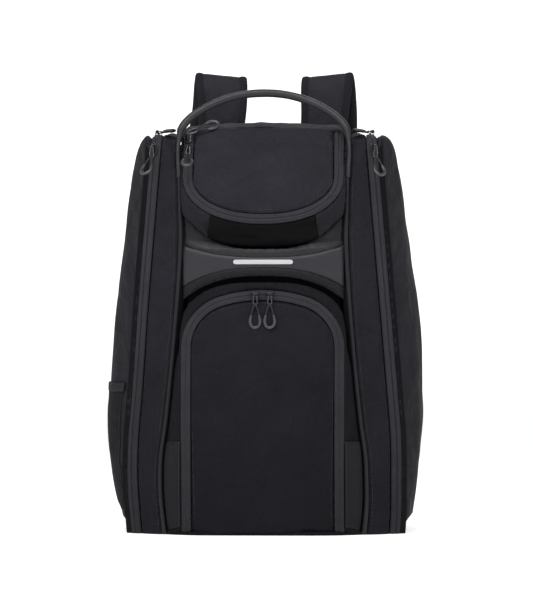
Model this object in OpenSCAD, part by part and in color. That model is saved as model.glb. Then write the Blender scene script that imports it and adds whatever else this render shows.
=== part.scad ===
// Racket backpack: a sewn bag with two zipped side compartments for rackets,
// a zipped top pocket, a zipped main pocket, a carry handle and two shoulder straps.
// Millimetres. +Z is up, the front faces -Y, the bag stands on z = 0.

/* [Body] */
// Y of the front zip line of the racket compartments
zip_front_y = -97; // [-110:1:-90]
// Y of the rear zip line of the racket compartments
zip_rear_y = 100; // [90:1:108]
// Height of the zip line over the top of the racket compartments
zip_top_z = 492; // [480:1:496]
// Radius of the zip line where it turns over the top
zip_corner_r = 24; // [18:1:32]
// Thickness of one sewn fabric layer with its lining
cloth_t = 3; // [2:0.5:4]
// Front face of the back panel
back_y = 118; // [116:1:124]
// Thickness of the foam back panel
back_t = 8; // [6:1:12]
// Thickness of the base panel
base_t = 5; // [4:0.5:6]

/* [Pockets] */
// Half width of the top pocket lid
lid_half = 87; // [84:1:88]
// Half width of the main pocket flap
flap_half = 88; // [84:1:90]
// Height of the top of the main pocket flap
flap_top_z = 289; // [285:1:291]
// Radius of the top arc of the flap, which its zip sliders follow
flap_arc_r = 170; // [160:1:180]
// Visible width of one half of a zip tape
tape_w = 6; // [5:0.5:6.5]

/* [Hardware] */
// Length of a zip slider body
slider_l = 11; // [9:0.5:13]
// Width of a zip slider body
slider_w = 8.5; // [7:0.5:9]
// Length of the cord loop of a zip pull
loop_l = 27; // [22:1:30]
// Radius of the carry handle tube
handle_r = 5; // [4:0.5:6]
// Width of a padded shoulder strap
strap_w = 66; // [60:1:70]
// Thickness of a padded shoulder strap
strap_t = 10; // [8:1:12]
// Width of the strap webbing
web_w = 25; // [20:1:25]

/* [Hidden] */
gap = 0.5;

// ---------- curves ----------
function seg(t, T, i = 0) = (i >= len(T) - 2 || t < T[i + 1][0]) ? i : seg(t, T, i + 1);
function slope(T, i, k) = i == 0 ? (T[1][k] - T[0][k]) / (T[1][0] - T[0][0])
    : i == len(T) - 1 ? (T[i][k] - T[i - 1][k]) / (T[i][0] - T[i - 1][0])
    : (T[i + 1][k] - T[i - 1][k]) / (T[i + 1][0] - T[i - 1][0]);
// smooth value of column k of table T at t
function cv(t, T, k = 1) = let (i = seg(t, T), h = T[i + 1][0] - T[i][0], u = (t - T[i][0]) / h,
    a = T[i][k], b = T[i + 1][k], ma = slope(T, i, k) * h, mb = slope(T, i + 1, k) * h)
    u < 0 ? a + ma * u : u > 1 ? b + mb * (u - 1) :
    (2*u*u*u - 3*u*u + 1) * a + (u*u*u - 2*u*u + u) * ma + (-2*u*u*u + 3*u*u) * b + (u*u*u - u*u) * mb;
function unit(v) = v / max(norm(v), 1e-9);
function mx(p) = [-p[0], p[1], p[2]];

// Half width of the bag at its widest, over the height
W_T = [[0, 168], [6, 173.5], [24, 179], [64, 186.5], [104, 192], [145, 194.7], [175, 193.6],
    [215, 191.8], [256, 188.4], [296, 184.6], [336, 179.6], [376, 175], [417, 170.6],
    [440, 167], [457, 163], [470, 159], [480, 153.5], [487, 146]];
// Half width at the zip line, over the height
Z_T = [[0, 157.5], [40, 162.4], [80, 164.8], [130, 163.7], [160, 161.2], [200, 157.9]];
function xz(z) = z > 130 ? 163.7 - (z - 130) * 0.0835 : cv(z, Z_T);
// Seam between the racket compartments and the centre column: height, half width, y
J_T = [[5, 121, -116], [45, 126, -118], [93, 126, -118.5], [141, 119.5, -118.5], [214, 112, -118],
    [287, 106, -116], [359, 102, -114], [400, 102.5, -113], [440, 103.5, -109], [470, 104, -99]];
function xj(z) = cv(z, J_T, 1);
function yj(z) = cv(z, J_T, 2);

// ---------- solids from point grids ----------
// Normals of a grid of points, one per point
function gn(P, i, j) = let (n = len(P) - 1, m = len(P[0]) - 1,
    a = P[min(i + 1, n)][j] - P[max(i - 1, 0)][j], b = P[i][min(j + 1, m)] - P[i][max(j - 1, 0)])
    unit(cross(a, b));
// A closed sheet: grid P is one face, the other is t away along the normals
function sheet_of(P, t) = let (
    n = len(P), m = len(P[0]),
    Q = [for (i = [0 : n - 1]) for (j = [0 : m - 1]) P[i][j]],
    R = [for (i = [0 : n - 1]) for (j = [0 : m - 1]) P[i][j] + t * gn(P, i, j)],
    k = n * m,
    f = concat(
        [for (i = [0 : n - 2]) for (j = [0 : m - 2]) each [
            [i*m + j, (i+1)*m + j, (i+1)*m + j + 1], [i*m + j, (i+1)*m + j + 1, i*m + j + 1],
            [k + i*m + j, k + (i+1)*m + j + 1, k + (i+1)*m + j], [k + i*m + j, k + i*m + j + 1, k + (i+1)*m + j + 1]]],
        [for (i = [0 : n - 2]) each [
            [i*m, k + i*m, k + (i+1)*m], [i*m, k + (i+1)*m, (i+1)*m],
            [i*m + m - 1, k + (i+1)*m + m - 1, k + i*m + m - 1], [i*m + m - 1, (i+1)*m + m - 1, k + (i+1)*m + m - 1]]],
        [for (j = [0 : m - 2]) each [
            [j, k + j + 1, k + j], [j, j + 1, k + j + 1],
            [(n-1)*m + j, k + (n-1)*m + j, k + (n-1)*m + j + 1], [(n-1)*m + j, k + (n-1)*m + j + 1, (n-1)*m + j + 1]]]))
    [concat(Q, R), t > 0 ? f : [for (q = f) [q[0], q[2], q[1]]]];
// A solid is [points, faces]: drawn, mirrored to the left side, or put together with others
module solid(d) polyhedron(d[0], d[1], convexity = 10);
function left(d) = [[for (p = d[0]) mx(p)], [for (f = d[1]) [for (i = [len(f) - 1 : -1 : 0]) f[i]]]];
function join(a, b) = [concat(a[0], b[0]), concat(a[1], [for (f = b[1]) [for (i = f) i + len(a[0])]])];
function both(d) = join(d, left(d));
function one_side(d, s) = s > 0 ? d : left(d);
module sheet(P, t) solid(sheet_of(P, t));
// Sheets are written for the right side; s = -1 gives the left one
module side_sheet(P, t, s) solid(one_side(sheet_of(P, t), s));

// A round tube along points
function tang(P, i) = unit(P[min(i + 1, len(P) - 1)] - P[max(i - 1, 0)]);
function tube_of(P, r, ref = [0, 1, 0], n = 10) = let (
    k = len(P),
    V = [for (i = [0 : k - 1]) let (t = tang(P, i), a = unit(cross(t, ref)), b = cross(t, a), q = is_list(r) ? r[i] : r)
        for (j = [0 : n - 1]) P[i] + q * (cos(360 * j / n) * a + sin(360 * j / n) * b)])
    [V, concat([[for (j = [0 : n - 1]) j]], [[for (j = [n - 1 : -1 : 0]) (k - 1) * n + j]],
        [for (i = [0 : k - 2]) for (j = [0 : n - 1]) each [
            [i*n + j, (i+1)*n + j, (i+1)*n + (j+1) % n], [i*n + j, (i+1)*n + (j+1) % n, i*n + (j+1) % n]]])];
// A flat band along points: w wide along direction A, t thick
function band_of(P, A, w, t) = let (
    k = len(P),
    V = [for (i = [0 : k - 1]) let (tn = tang(P, i), a = unit(A[i] - (A[i] * tn) * tn), b = cross(tn, a), wi = is_list(w) ? w[i] : w)
        each [P[i] - a*wi/2 - b*t/2, P[i] + a*wi/2 - b*t/2, P[i] + a*wi/2 + b*t/2, P[i] - a*wi/2 + b*t/2]])
    [V, concat([[0, 1, 2, 3]], [[(k-1)*4 + 3, (k-1)*4 + 2, (k-1)*4 + 1, (k-1)*4]],
        [for (i = [0 : k - 2]) for (j = [0 : 3]) each [
            [i*4 + j, (i+1)*4 + j, (i+1)*4 + (j+1) % 4], [i*4 + j, (i+1)*4 + (j+1) % 4, i*4 + (j+1) % 4]]])];

// ---------- racket compartment zip line ----------
// [y, z, ny, nz] from the foot of the front line, over the top, to the foot of the rear line
front_z = [7, 24, 45, 70, 100, 130, 180, 230, 280, 330, 380, 420, 450, zip_top_z - zip_corner_r];
corner_a = [18, 36, 54, 72];
function yz_front() = [for (z = front_z) [zip_front_y, z, -1, 0]];
function yz_corner1() = [for (a = corner_a) [zip_front_y + zip_corner_r * (1 - cos(a)), zip_top_z - zip_corner_r * (1 - sin(a)), -cos(a), sin(a)]];
function yz_top() = [for (i = [0 : 5]) [zip_front_y + zip_corner_r + i * (zip_rear_y - zip_front_y - 2 * zip_corner_r) / 5, zip_top_z, 0, 1]];
function yz_corner2() = [for (i = [3 : -1 : 0]) let (a = corner_a[i]) [zip_rear_y - zip_corner_r * (1 - cos(a)), zip_top_z - zip_corner_r * (1 - sin(a)), cos(a), sin(a)]];
function yz_rear() = [for (i = [len(front_z) - 1 : -1 : 0]) [zip_rear_y, front_z[i], 1, 0]];
LOOP = concat(yz_front(), yz_corner1(), yz_top(), yz_corner2(), yz_rear());
n_front = len(front_z);
// point of the zip line, moved dx outboard and dn outwards
function zp(q, dx = 0, dn = 0) = [xz(q[1]) + dx, q[0] + dn * q[2], q[1] + dn * q[3]];
fixed_dx = -tape_w - 1.2; fixed_dn = 2;
move_dx = tape_w - 0.2; move_dn = -5.5;

module zip_fixed(s) color([0.22, 0.22, 0.23]) side_sheet([for (q = LOOP) [zp(q, fixed_dx, fixed_dn), zp(q, fixed_dx / 2, fixed_dn / 2 + 0.3), zp(q, -0.5, 0)]], 1.2, s);
module zip_moving(s) color([0.22, 0.22, 0.23]) side_sheet([for (q = LOOP) [zp(q, 0.95, -0.3), zp(q, move_dx / 2 + 0.3, move_dn / 2 + 0.4), zp(q, move_dx, move_dn)]], 1.2, s);

// ---------- side panels (the doors of the racket compartments) ----------
door_z = [6, 9, 14, 24, 40, 64, 96, 130, 165, 200, 240, 280, 320, 360, 400, 430, 452, 464, 474, 481, 485.5];
door_u = [-1, -0.93, -0.8, -0.6, -0.36, -0.12, 0.12, 0.36, 0.6, 0.8, 0.93, 1];
yc = (zip_front_y + zip_rear_y) / 2;
rd = zip_corner_r + move_dn;
ztd = zip_top_z + move_dn;
function door_half(z) = (zip_rear_y - zip_front_y) / 2 + move_dn - gap - (z > ztd - rd ? rd - sqrt(max(0, rd * rd - pow(z - ztd + rd, 2))) : 0);
function bulge(u) = pow(max(0, 1 - pow(abs(u), 2.3)), 0.72);
function door_x(u, z) = let (e = xz(z) + move_dx + gap, f = z < 24 ? max(0, (z - 6) / 18) : 1, m = 150 + (e - 150) * pow(f, 0.4))
    m + (max(cv(z, W_T) - e, 0.5)) * bulge(u) * (z < 24 ? pow(f, 0.3) : 1);
DOOR = [for (z = door_z) [for (u = door_u) [door_x(u, z), yc + u * door_half(z), z]]];
module side_panel(s) color([0.16, 0.16, 0.17]) side_sheet(DOOR, cloth_t, s);

// bottle pocket: a second layer over the lower rear half of the left side panel
pocket_z = [30, 50, 75, 100, 130, 155, 175];
pocket_u = [-0.86, -0.7, -0.5, -0.25, 0, 0.25, 0.5, 0.7, 0.86];
function pk(u, z) = [door_x(u, z) + 0.4 + 1.2 * pow(max(0, 1 - u * u), 0.5) * min(1, (z - 24) / 60), yc + u * door_half(z), z];
module bottle_pocket() color([0.12, 0.12, 0.13]) mirror([1, 0, 0]) sheet([for (z = pocket_z) [for (u = pocket_u) pk(u, z)]], -1);
module bottle_pocket_binding() color([0.25, 0.25, 0.27]) mirror([1, 0, 0])
    sheet([for (z = [175.6, 186]) [for (u = pocket_u) pk(u, z) + [0.2, 0, 0]]], -1.4);

// ---------- gussets round each racket compartment ----------
// inner edge of the boxing strip: on the centre column in front and on top, on the back panel behind
TOPIN = [[-80, 491], [-50, 498.5], [0, 501.5], [50, 501], [90, 497], [104, 489]];
function inner_front(z) = [xj(z) + 3.4, yj(z), z];
function lerp(a, b, u) = a + (b - a) * u;
cols = [0, 0.33, 0.67, 1];
module front_gussets() color([0.15, 0.15, 0.16]) {
    zs = [for (z = front_z) if (z < 460) z];
    A = concat([for (z = zs) inner_front(z)], [[107.4, -101.5, 466], [107.2, -92, 481], [107, -82, 489.5]]);
    B = concat([for (z = zs) zp([zip_front_y, z, -1, 0], fixed_dx - gap, fixed_dn)],
        [zp(yz_front()[n_front - 1], fixed_dx - gap, fixed_dn), zp(yz_corner1()[1], fixed_dx - gap, fixed_dn), zp(yz_corner1()[3], fixed_dx - gap, fixed_dn)]);
    solid(both(sheet_of([for (i = [0 : len(A) - 1]) [for (c = cols) lerp(A[i], B[i], c) + [0, -2.5 * sin(180 * c), 0]]], cloth_t)));
}
module top_gussets() color([0.15, 0.15, 0.16]) {
    A = [for (p = [[-80, 490.2], [-50, 497.5], [0, 500.5], [50, 500], [86, 496]]) [107, p[0], p[1]]];
    B = [for (y = [-73 + gap, -40, 0, 40, 75]) zp([y, zip_top_z, 0, 1], fixed_dx - gap, fixed_dn)];
    solid(both(sheet_of([for (i = [0 : 4]) [for (c = cols) lerp(A[i], B[i], c) + [0, i == 0 ? gap : 0, 1.5 * sin(180 * c)]]], cloth_t)));
}
function xb(z) = xz(z) - 12;
module rear_gussets() color([0.15, 0.15, 0.16]) {
    zs = [for (z = front_z) if (z < 460) z];
    A = concat([for (z = zs) [xb(z) + gap, back_y - 1, z]], [[xb(470) - 4, back_y - 1, 470], [118, back_y - 2, 482]]);
    B = concat([for (z = zs) zp([zip_rear_y, z, 1, 0], fixed_dx - gap, fixed_dn)],
        [zp(yz_front()[n_front - 1], 0, 0), zp(yz_front()[n_front - 1], 0, 0)]);
    R = [for (i = [0 : len(A) - 1]) let (q = i < len(zs) ? [zip_rear_y, zs[i], 1, 0] : i == len(zs) ? yz_rear()[0] : yz_corner2()[2])
        [A[i], lerp(A[i], zp(q, fixed_dx - gap, fixed_dn), 0.5) + [0.8, 0.8, 0], zp(q, fixed_dx - gap, fixed_dn)]];
    solid(both(sheet_of(R, -cloth_t)));
}

// ---------- flat structural panels ----------
module back_panel() color([0.13, 0.13, 0.14])
    translate([0, back_y + back_t, 0]) rotate([90, 0, 0]) linear_extrude(back_t)
        polygon(concat([for (z = [5.5, 40, 80, 130, 200, 300, 400, 450]) [xb(z), z]],
            [for (a = [0 : 15 : 90]) [xb(476) - 26 + 26 * cos(a), 471 + 26 * sin(a)]],
            [for (a = [90 : -15 : 0]) [-(xb(476) - 26 + 26 * cos(a)), 471 + 26 * sin(a)]],
            [for (z = [450, 400, 300, 200, 130, 80, 40, 5.5]) [-xb(z), z]]));
module rounded_pad(w, h, r, t) linear_extrude(t) polygon([for (c = [[1, 1], [-1, 1], [-1, -1], [1, -1]]) let (a0 = c[0] > 0 ? (c[1] > 0 ? 0 : 270) : (c[1] > 0 ? 90 : 180))
    for (a = [0 : 18 : 90]) [c[0] * (w/2 - r) + r * cos(a0 + a), c[1] * (h/2 - r) + r * sin(a0 + a)]]);
module back_pads() color([0.1, 0.1, 0.11]) {
    for (s = [-1, 1]) translate([s * 63, back_y + back_t + 0.2, 262]) rotate([90, 0, 0]) mirror([0, 0, 1]) rounded_pad(92, 330, 24, 11);
    translate([0, back_y + back_t + 0.2, 56]) rotate([90, 0, 0]) mirror([0, 0, 1]) rounded_pad(218, 62, 22, 11);
}
// base outline, right half, front to back
BASE = [[0, -137], [60, -136.5], [88, -133], [106, -124], [121, -112], [147.5, -92], [149, 0], [147.5, 96], [143, back_y + back_t]];
module base_panel() color([0.12, 0.12, 0.13]) linear_extrude(base_t)
    polygon(concat(BASE, [for (i = [len(BASE) - 1 : -1 : 1]) [-BASE[i][0], BASE[i][1]]]));
module compartment_dividers() color([0.2, 0.2, 0.22])
    solid(both(sheet_of([for (z = [7, 45, 93, 141, 214, 287, 359, 420, 455]) [for (u = [0, 0.5, 1]) [lerp(xj(z) - 5.2, 98, u), lerp(yj(z) + 11, back_y - 1, u), z]]], 2)));
module top_pocket_floor() color([0.2, 0.2, 0.22])
    translate([0, 0, 382]) linear_extrude(2.5) polygon([[-93, -101], [93, -101], [94, back_y - 1], [-94, back_y - 1]]);

// ---------- top pocket ----------
// centre profile of the top pocket: distance from the lid's lower edge, y, z
L_T = [[-60, -109.5, 347], [-44, -111.5, 353], [-30, -119.5, 363], [-14, -130, 380.5], [0, -132, 394.7], [25, -129, 420], [57, -120, 450.4], [90, -102.8, 478.9],
    [117, -84, 498], [147, -56, 506.5], [203, 0, 510], [258, 55, 509], [292, 89, 505], [321, 117, 499]];
function ln(t) = let (d = unit([0, cv(t + 1, L_T, 1) - cv(t - 1, L_T, 1), cv(t + 1, L_T, 2) - cv(t - 1, L_T, 2)])) [0, -d[2], d[1]];
// surface of the centre column's upper part at x, t; k is a lift outwards
function lp(x, t, k = 0) = [x, cv(t, L_T, 1), cv(t, L_T, 2)] + ln(t) * (k - 6 * pow(x / 89, 2));
// lid outline in the flat (x, t): right half from the middle of the lower edge to the hinge
lid_u = [0, 0.2, 0.38, 0.54, 0.68, 0.8, 0.89, 0.955, 0.99];
function lid_edge_t(x) = 49 * (1 - pow(max(0, 1 - pow(abs(x) / lid_half, 2.2)), 1 / 2.2));
lid_end = 113.5;
side_t = [49, 62, 75, 88, 101, lid_end];
RIM = concat([for (u = lid_u) [u * lid_half, lid_edge_t(u * lid_half)]], [for (t = side_t) [lid_half, t]]);
function rim_n(i) = i == 0 ? [0, -1] : let (a = RIM[max(i - 1, 0)], b = RIM[min(i + 1, len(RIM) - 1)], d = unit(b - a)) [d[1], -d[0]];
function rim_p(i, o, k = 0) = let (p = RIM[i] + o * rim_n(i)) lp(p[0], p[1], k);
function rim_row(o0, o1, o2, k) = concat([for (i = [len(RIM) - 1 : -1 : 1]) [mx(rim_p(i, o0, k)), mx(rim_p(i, o1, k)), mx(rim_p(i, o2, k))]],
    [for (i = [0 : len(RIM) - 1]) [rim_p(i, o0, k), rim_p(i, o1, k), rim_p(i, o2, k)]]);
module lid_zip_moving() color([0.22, 0.22, 0.23]) sheet(rim_row(0.2, tape_w / 2, tape_w - 0.15, 0.6), 1.2);
module lid_zip_fixed() color([0.22, 0.22, 0.23]) sheet(rim_row(tape_w + 0.15, tape_w * 1.5, tape_w * 2, 0.6), 1.2);
lid_x = concat([-1], [for (i = [len(lid_u) - 1 : -1 : 1]) -lid_u[i]], lid_u, [1]);
module top_lid() color([0.17, 0.17, 0.18])
    sheet([for (v = [0, 0.08, 0.18, 0.3, 0.42, 0.54, 0.66, 0.78, 0.9, 1])
        [for (u = lid_x) let (x = u * (lid_half - 0.6), t0 = lid_edge_t(x) + 0.6) lp(x, t0 + v * (lid_end - t0), 0.6)]], cloth_t);
// outer edge of the pocket's wall in the flat (x, t)
function wall_out(i) = let (r = RIM[i]) i < len(lid_u) ? [r[0] * 1.15, -44 + 0.35 * r[1] + 32 * pow(r[0] / lid_half, 3)] : [101.2, max(r[1] - (i == len(lid_u) ? 28 : i == len(lid_u) + 1 ? 12 : 0), 20)];
function wall_row(i) = let (a = RIM[i] + (tape_w * 2 + gap) * rim_n(i), b = wall_out(i)) [for (c = [0, 0.33, 0.67, 1]) let (p = lerp(a, b, c)) lp(p[0], p[1], 0.3)];
n_dark = 5;
module top_pocket_underside() color([0.06, 0.06, 0.07])
    sheet(concat([for (i = [n_dark - 1 : -1 : 1]) [for (p = wall_row(i)) mx(p)]], [for (i = [0 : n_dark - 1]) wall_row(i)]), cloth_t);
function shift_x(row, d) = [for (p = row) p + [d, 0, 0]];
module top_pocket_surround() color([0.17, 0.17, 0.18])
    solid(both(sheet_of(concat([shift_x(wall_row(n_dark - 1), gap)], [for (i = [n_dark : len(RIM) - 1]) wall_row(i)]), cloth_t)));
// yoke over the top, from the lid's hinge to the back panel
module top_yoke() color([0.15, 0.15, 0.16])
    sheet([for (t = [lid_end + 2.5, 126, 147, 175, 203, 232, 258, 292, 308, 319]) [for (u = [-1, -0.7, -0.35, 0, 0.35, 0.7, 1]) lp(u * 106, t, 0.3)]], cloth_t);

// ---------- band with the reflective strip, between the two pockets ----------
function bow(x, mid, side, p = 2.6) = mid + (side - mid) * pow(min(1, abs(x) / 100), p);
function by(x, z) = -117.5 + 5 * pow(x / 100, 2) - 3.5 * sin(max(0, min(180, (z - 300) / 55 * 180))) + min(4.5, 0.4 * max(0, z - 352));
band_u = [-1, -0.93, -0.8, -0.64, -0.45, -0.22, 0, 0.22, 0.45, 0.64, 0.8, 0.93, 1];
module bow_sheet(z0, s0, z1, s1, t, half, dy = 0, rows = 3, pa = 2.6, pb = 2.6)
    sheet([for (r = [0 : rows]) [for (u = band_u) let (x = u * half, z = lerp(bow(x, z0, s0, pa), bow(x, z1, s1, pb), r / rows)) [x, by(x, z) + dy, z]]], t);
module reflective_panel() color([0.24, 0.24, 0.25]) bow_sheet(329, 304, 341.5, 358, cloth_t, 99.3);
module upper_trim() color([0.16, 0.16, 0.17]) bow_sheet(342, 358.5, 352, 398, cloth_t, 98.8, 0, 3, 2.6, 3);
module lower_trim() color([0.16, 0.16, 0.17]) bow_sheet(318, 288.5, 328.5, 303.5, cloth_t, 99.6, -0.3, 2);
module reflective_strip() color([0.78, 0.78, 0.8])
    translate([0, by(0, 335.2) - 0.5, 335.2]) rotate([90, 0, 0]) linear_extrude(0.9)
        polygon(concat([for (a = [-90 : 30 : 90]) [31.8 + 2.4 * cos(a), 2.4 * sin(a)]], [for (a = [90 : 30 : 270]) [-31.8 + 2.4 * cos(a), 2.4 * sin(a)]]));
// back wall of the open recess under the band
module recess_liner() color([0.1, 0.1, 0.11])
    translate([0, -103, 0]) rotate([90, 0, 0]) linear_extrude(2) polygon([[-95, 262], [95, 262], [94, 345], [-94, 345]]);

// ---------- main pocket ----------
F_T = [[5, -134.5], [14, -138], [40, -144.5], [80, -150], [125, -152.5], [180, -151], [230, -146.5], [270, -140.5], [296, -135.5], [315, -130]];
function fy(x, z) = cv(z, F_T) + 7 * pow(abs(x) / 88, 2.4);
// flap outline, right half, from the middle of its top: an arc the sliders follow, a corner, a straight side
arc_a = 17;
corner_r = (flap_half - flap_arc_r * sin(arc_a)) / (1 - sin(arc_a));
corner_z = flap_top_z - flap_arc_r + (flap_arc_r - corner_r) * cos(arc_a);
FRIM = concat([for (a = [0, 4, 8, 12.5]) [flap_arc_r * sin(a), flap_top_z - flap_arc_r * (1 - cos(a)), sin(a), cos(a)]],
    [for (a = [17 : 12.17 : 90.1]) [flap_half - corner_r * (1 - sin(a)), corner_z + corner_r * cos(a), sin(a), cos(a)]],
    [for (z = [205, 170, 130, 90, 50, 25, 8]) [flap_half, z, 1, 0]]);
function fr(i, o, k = 0) = let (q = FRIM[i], x = q[0] + o * q[2], z = q[1] + o * q[3]) [x, fy(x, z) - k, z];
function frow(o0, o1, o2, k) = concat([for (i = [len(FRIM) - 1 : -1 : 1]) [mx(fr(i, o0, k)), mx(fr(i, o1, k)), mx(fr(i, o2, k))]],
    [for (i = [0 : len(FRIM) - 1]) [fr(i, o0, k), fr(i, o1, k), fr(i, o2, k)]]);
module flap_zip_moving() color([0.22, 0.22, 0.23]) sheet(frow(0.2, tape_w / 2, tape_w - 0.15, 0.8), -1.2);
module flap_zip_fixed() color([0.22, 0.22, 0.23]) sheet(frow(tape_w + 0.15, tape_w * 1.5, tape_w * 2, 0.8), -1.2);
// the flap as columns from its outline down to the hinge at the foot
module front_flap() color([0.13, 0.13, 0.14]) {
    n = len(FRIM) - 8;
    xs = concat([for (i = [n : -1 : 1]) -FRIM[i][0]], [for (i = [0 : n]) FRIM[i][0]]);
    zt = concat([for (i = [n : -1 : 1]) FRIM[i][1]], [for (i = [0 : n]) FRIM[i][1]]);
    sheet([for (v = [0, 0.05, 0.12, 0.22, 0.34, 0.46, 0.58, 0.7, 0.8, 0.9, 1]) [for (i = [0 : len(xs) - 1])
        let (x = xs[i] * 0.994, z = lerp(zt[i] - 0.6, 8, v)) [x, fy(x, z) - 0.4, z]]], -cloth_t);
}
// pocket wall round the flap: from the zip to the column's seam and over the arch
FOUT = [[0, 311.5, -131], [20, 311.3, -131], [39, 310, -130.5], [57, 306, -130], [72, 300, -129], [84, 292, -128], [93, 283, -126.5],
    [99, 272, -125], [101.5, 260, -124], [103, 247, -122.5], [104, 230, -121.5]];
function fout(i) = i < len(FOUT) ? [FOUT[i][0], FOUT[i][2], FOUT[i][1]] : let (z = FRIM[i][1]) [xj(z) - 3.4, yj(z) - 1, z];
function fwall(i) = [for (c = [0, 0.35, 0.7, 1]) lerp(fr(i, tape_w * 2 + 0.9, 0.2), fout(i), c) + [0, -1.2 * sin(180 * c), 0]];
module front_pocket_frame() color([0.15, 0.15, 0.16])
    sheet(concat([for (i = [len(FRIM) - 1 : -1 : 1]) [for (p = fwall(i)) mx(p)]], [for (i = [0 : len(FRIM) - 1]) fwall(i)]), -cloth_t);
module reinforcement_patches() color([0.2, 0.2, 0.21])
    solid(both(sheet_of([for (z = [110, 90, 60, 35, 14]) [for (c = [0.06, 0.5, 0.94]) let (a = [flap_half + tape_w * 2 + gap, fy(flap_half + 12.5, z) - 0.2, z], b = [xj(z) - 3.4, yj(z) - 1, z], p = lerp(a, b, c)) p + [0, -1.2 * sin(180 * c) - 0.3, 0]]], 1)));

// ---------- piping and carry handle ----------
PIPE_Z = [8, 25, 45, 70, 93, 117, 141, 180, 214, 250, 287, 325, 359, 400, 440, 458];
module edge_piping() color([0.14, 0.14, 0.15]) solid(both(tube_of([for (z = PIPE_Z) [xj(z), yj(z) - 2.6, z]], 2.4)));
// The handle's arc swings on its feet at hp; the feet run down into the piping
hp = [102.5, -96, 500];
HANDLE = [hp, [95, -91.5, 511.5], [84, -87, 522.5], [66, -82, 535], [46, -77, 544.3], [24, -73.5, 549.8], [0, -72.5, 551.5]];
module carry_handle() color([0.16, 0.16, 0.17]) let (E = [for (a = [75, 50, 25]) hp + [0.35, -0.25, -1] * handle_r * 0.92 * sin(a)], P = concat(E, HANDLE),
    R = concat([for (a = [75, 50, 25]) handle_r * cos(a)], [for (p = HANDLE) handle_r]), n = len(P))
    solid(tube_of(concat(P, [for (i = [n - 2 : -1 : 0]) mx(P[i])]), concat(R, [for (i = [n - 2 : -1 : 0]) R[i]])));
module handle_feet() color([0.15, 0.15, 0.16]) solid(both(tube_of([[105.5, -108, 462], [105.8, -105.5, 474], [105, -101.5, 485], [103.6, -98, 494]], handle_r)));

// ---------- zip sliders and pulls ----------
// slider: length along local X, sits on z = 0, tape below
module slider() color([0.09, 0.09, 0.1]) {
    difference() {
        union() {
            translate([-slider_l / 2, -slider_w / 2 + 0.8, 0]) cube([slider_l, slider_w - 1.6, 1.5]);
            translate([-slider_l / 2 + 2, -slider_w / 2, 0]) cube([slider_l * 0.45, slider_w, 1.5]);
            translate([-slider_l / 2 + 1.6, -1.4, 1.4]) cube([slider_l - 3.2, 2.8, 2.8]);
        }
        translate([-slider_l / 2 + 3.1, -2, 1.5]) cube([slider_l - 6.2, 4, 1.5]);
    }
}
// half of a pull's loop: thin cord, then the moulded end
ROOT_Y = -10.8;
CORD = [for (q = [[0.9, ROOT_Y, 0], [1.4, -13.2, 0], [3, -19, 0], [5, -25, 0], [5.4, -26.6, 0], [6.3, -31, 0], [5.4, -35.6, 0], [3, -38.6, 0], [0, -39.6, 0]]) [q[0], ROOT_Y + (q[1] - ROOT_Y) * loop_l / 27, 0]];
CORD_R = [0.4, 0.8, 0.8, 0.8, 1.5, 1.6, 1.6, 1.6, 1.6];
// pull: hangs along local -Y from the bail at the origin, lies in the XY plane
module pull() {
    color([0.1, 0.1, 0.11]) difference() {
        translate([-2.2, -12, -0.6]) cube([4.4, 13.4, 1.2]);
        translate([0, 0, -1]) cylinder(h = 2, r = 1.35, $fn = 24);
        translate([0, -9.6, -1]) cylinder(h = 2, r = 1.1, $fn = 24);
    }
    color([0.35, 0.35, 0.37]) solid(tube_of(concat(CORD, [for (i = [len(CORD) - 2 : -1 : 0]) mx(CORD[i])]),
        concat(CORD_R, [for (i = [len(CORD) - 2 : -1 : 0]) CORD_R[i]]), [0, 0, 1], 8));
}
// place at p with local X along f and local Z along n
module at(p, f, n) { z = unit(n); x = unit(f - (f * z) * z); y = cross(z, x);
    multmatrix([[x[0], y[0], z[0], p[0]], [x[1], y[1], z[1], p[1]], [x[2], y[2], z[2], p[2]], [0, 0, 0, 1]]) children(); }
module flip(s) { if (s > 0) children(); else mirror([1, 0, 0]) children(); }

zf = 461; // height of the front sliders of the racket compartments
zn = unit([0.38, -0.92, 0]); // outward normal of the front zip tape
fs_p = [xz(zf), zip_front_y, zf] + 1.9 * zn;
module side_slider_front(s) flip(s) at(fs_p, [-0.0835, 0, 1], zn) slider();
module side_pull_front(s) flip(s) at(fs_p + 6.1 * zn + [0, 0, 2], [1, 0.4, 0], unit(zn + [0, 0, 0.02])) pull();
ts_p = [xz(zip_top_z) - 0.3, -58, zip_top_z + 1.9];
module side_slider_top(s) flip(s) at(ts_p, [0, 1, 0], [0.25, 0, 1]) slider();
module side_pull_top(s) flip(s) at(ts_p + [1.4, 0, 6.2], [0.836, -0.532, 0.131], [-0.0665, 0.138, 0.988]) pull();

lt_f = 88; lt_t = 104; // places of the lid's sliders along its left side
function lid_c(t, k) = mx(lp(lid_half + tape_w, t, k));
module lid_slider(t) at(lid_c(t, 1.8), lid_c(t + 2, 0) - lid_c(t - 2, 0), mx(ln(t)) + [-0.12, 0, 0]) slider();
module lid_pull_front() at(lid_c(lt_f, 7.9), [1, 0, 0], ln(lt_f - 14)) pull();
module lid_pull_top() at(lid_c(lt_t, 8.3), [0, 0.62, 0.78], ln(lt_t) + [0.03, 0, 0]) pull();

fl_a = 2.9; // angle of each flap slider from the middle
fc_z = flap_top_z - flap_arc_r;
fl_r = flap_arc_r + tape_w;
function fl_p(s, k) = let (x = s * fl_r * sin(fl_a), z = fc_z + fl_r * cos(fl_a)) [x, fy(x, z) - k, z];
fl_n = [0, -1, 0.14];
module flap_slider(s) at(fl_p(s, 1.7), [s, 0, 0], fl_n) slider();
module flap_pull(s) at(fl_p(s, 7.8), [1, 0, 0], [0, -1, 0.16]) pull();

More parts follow.
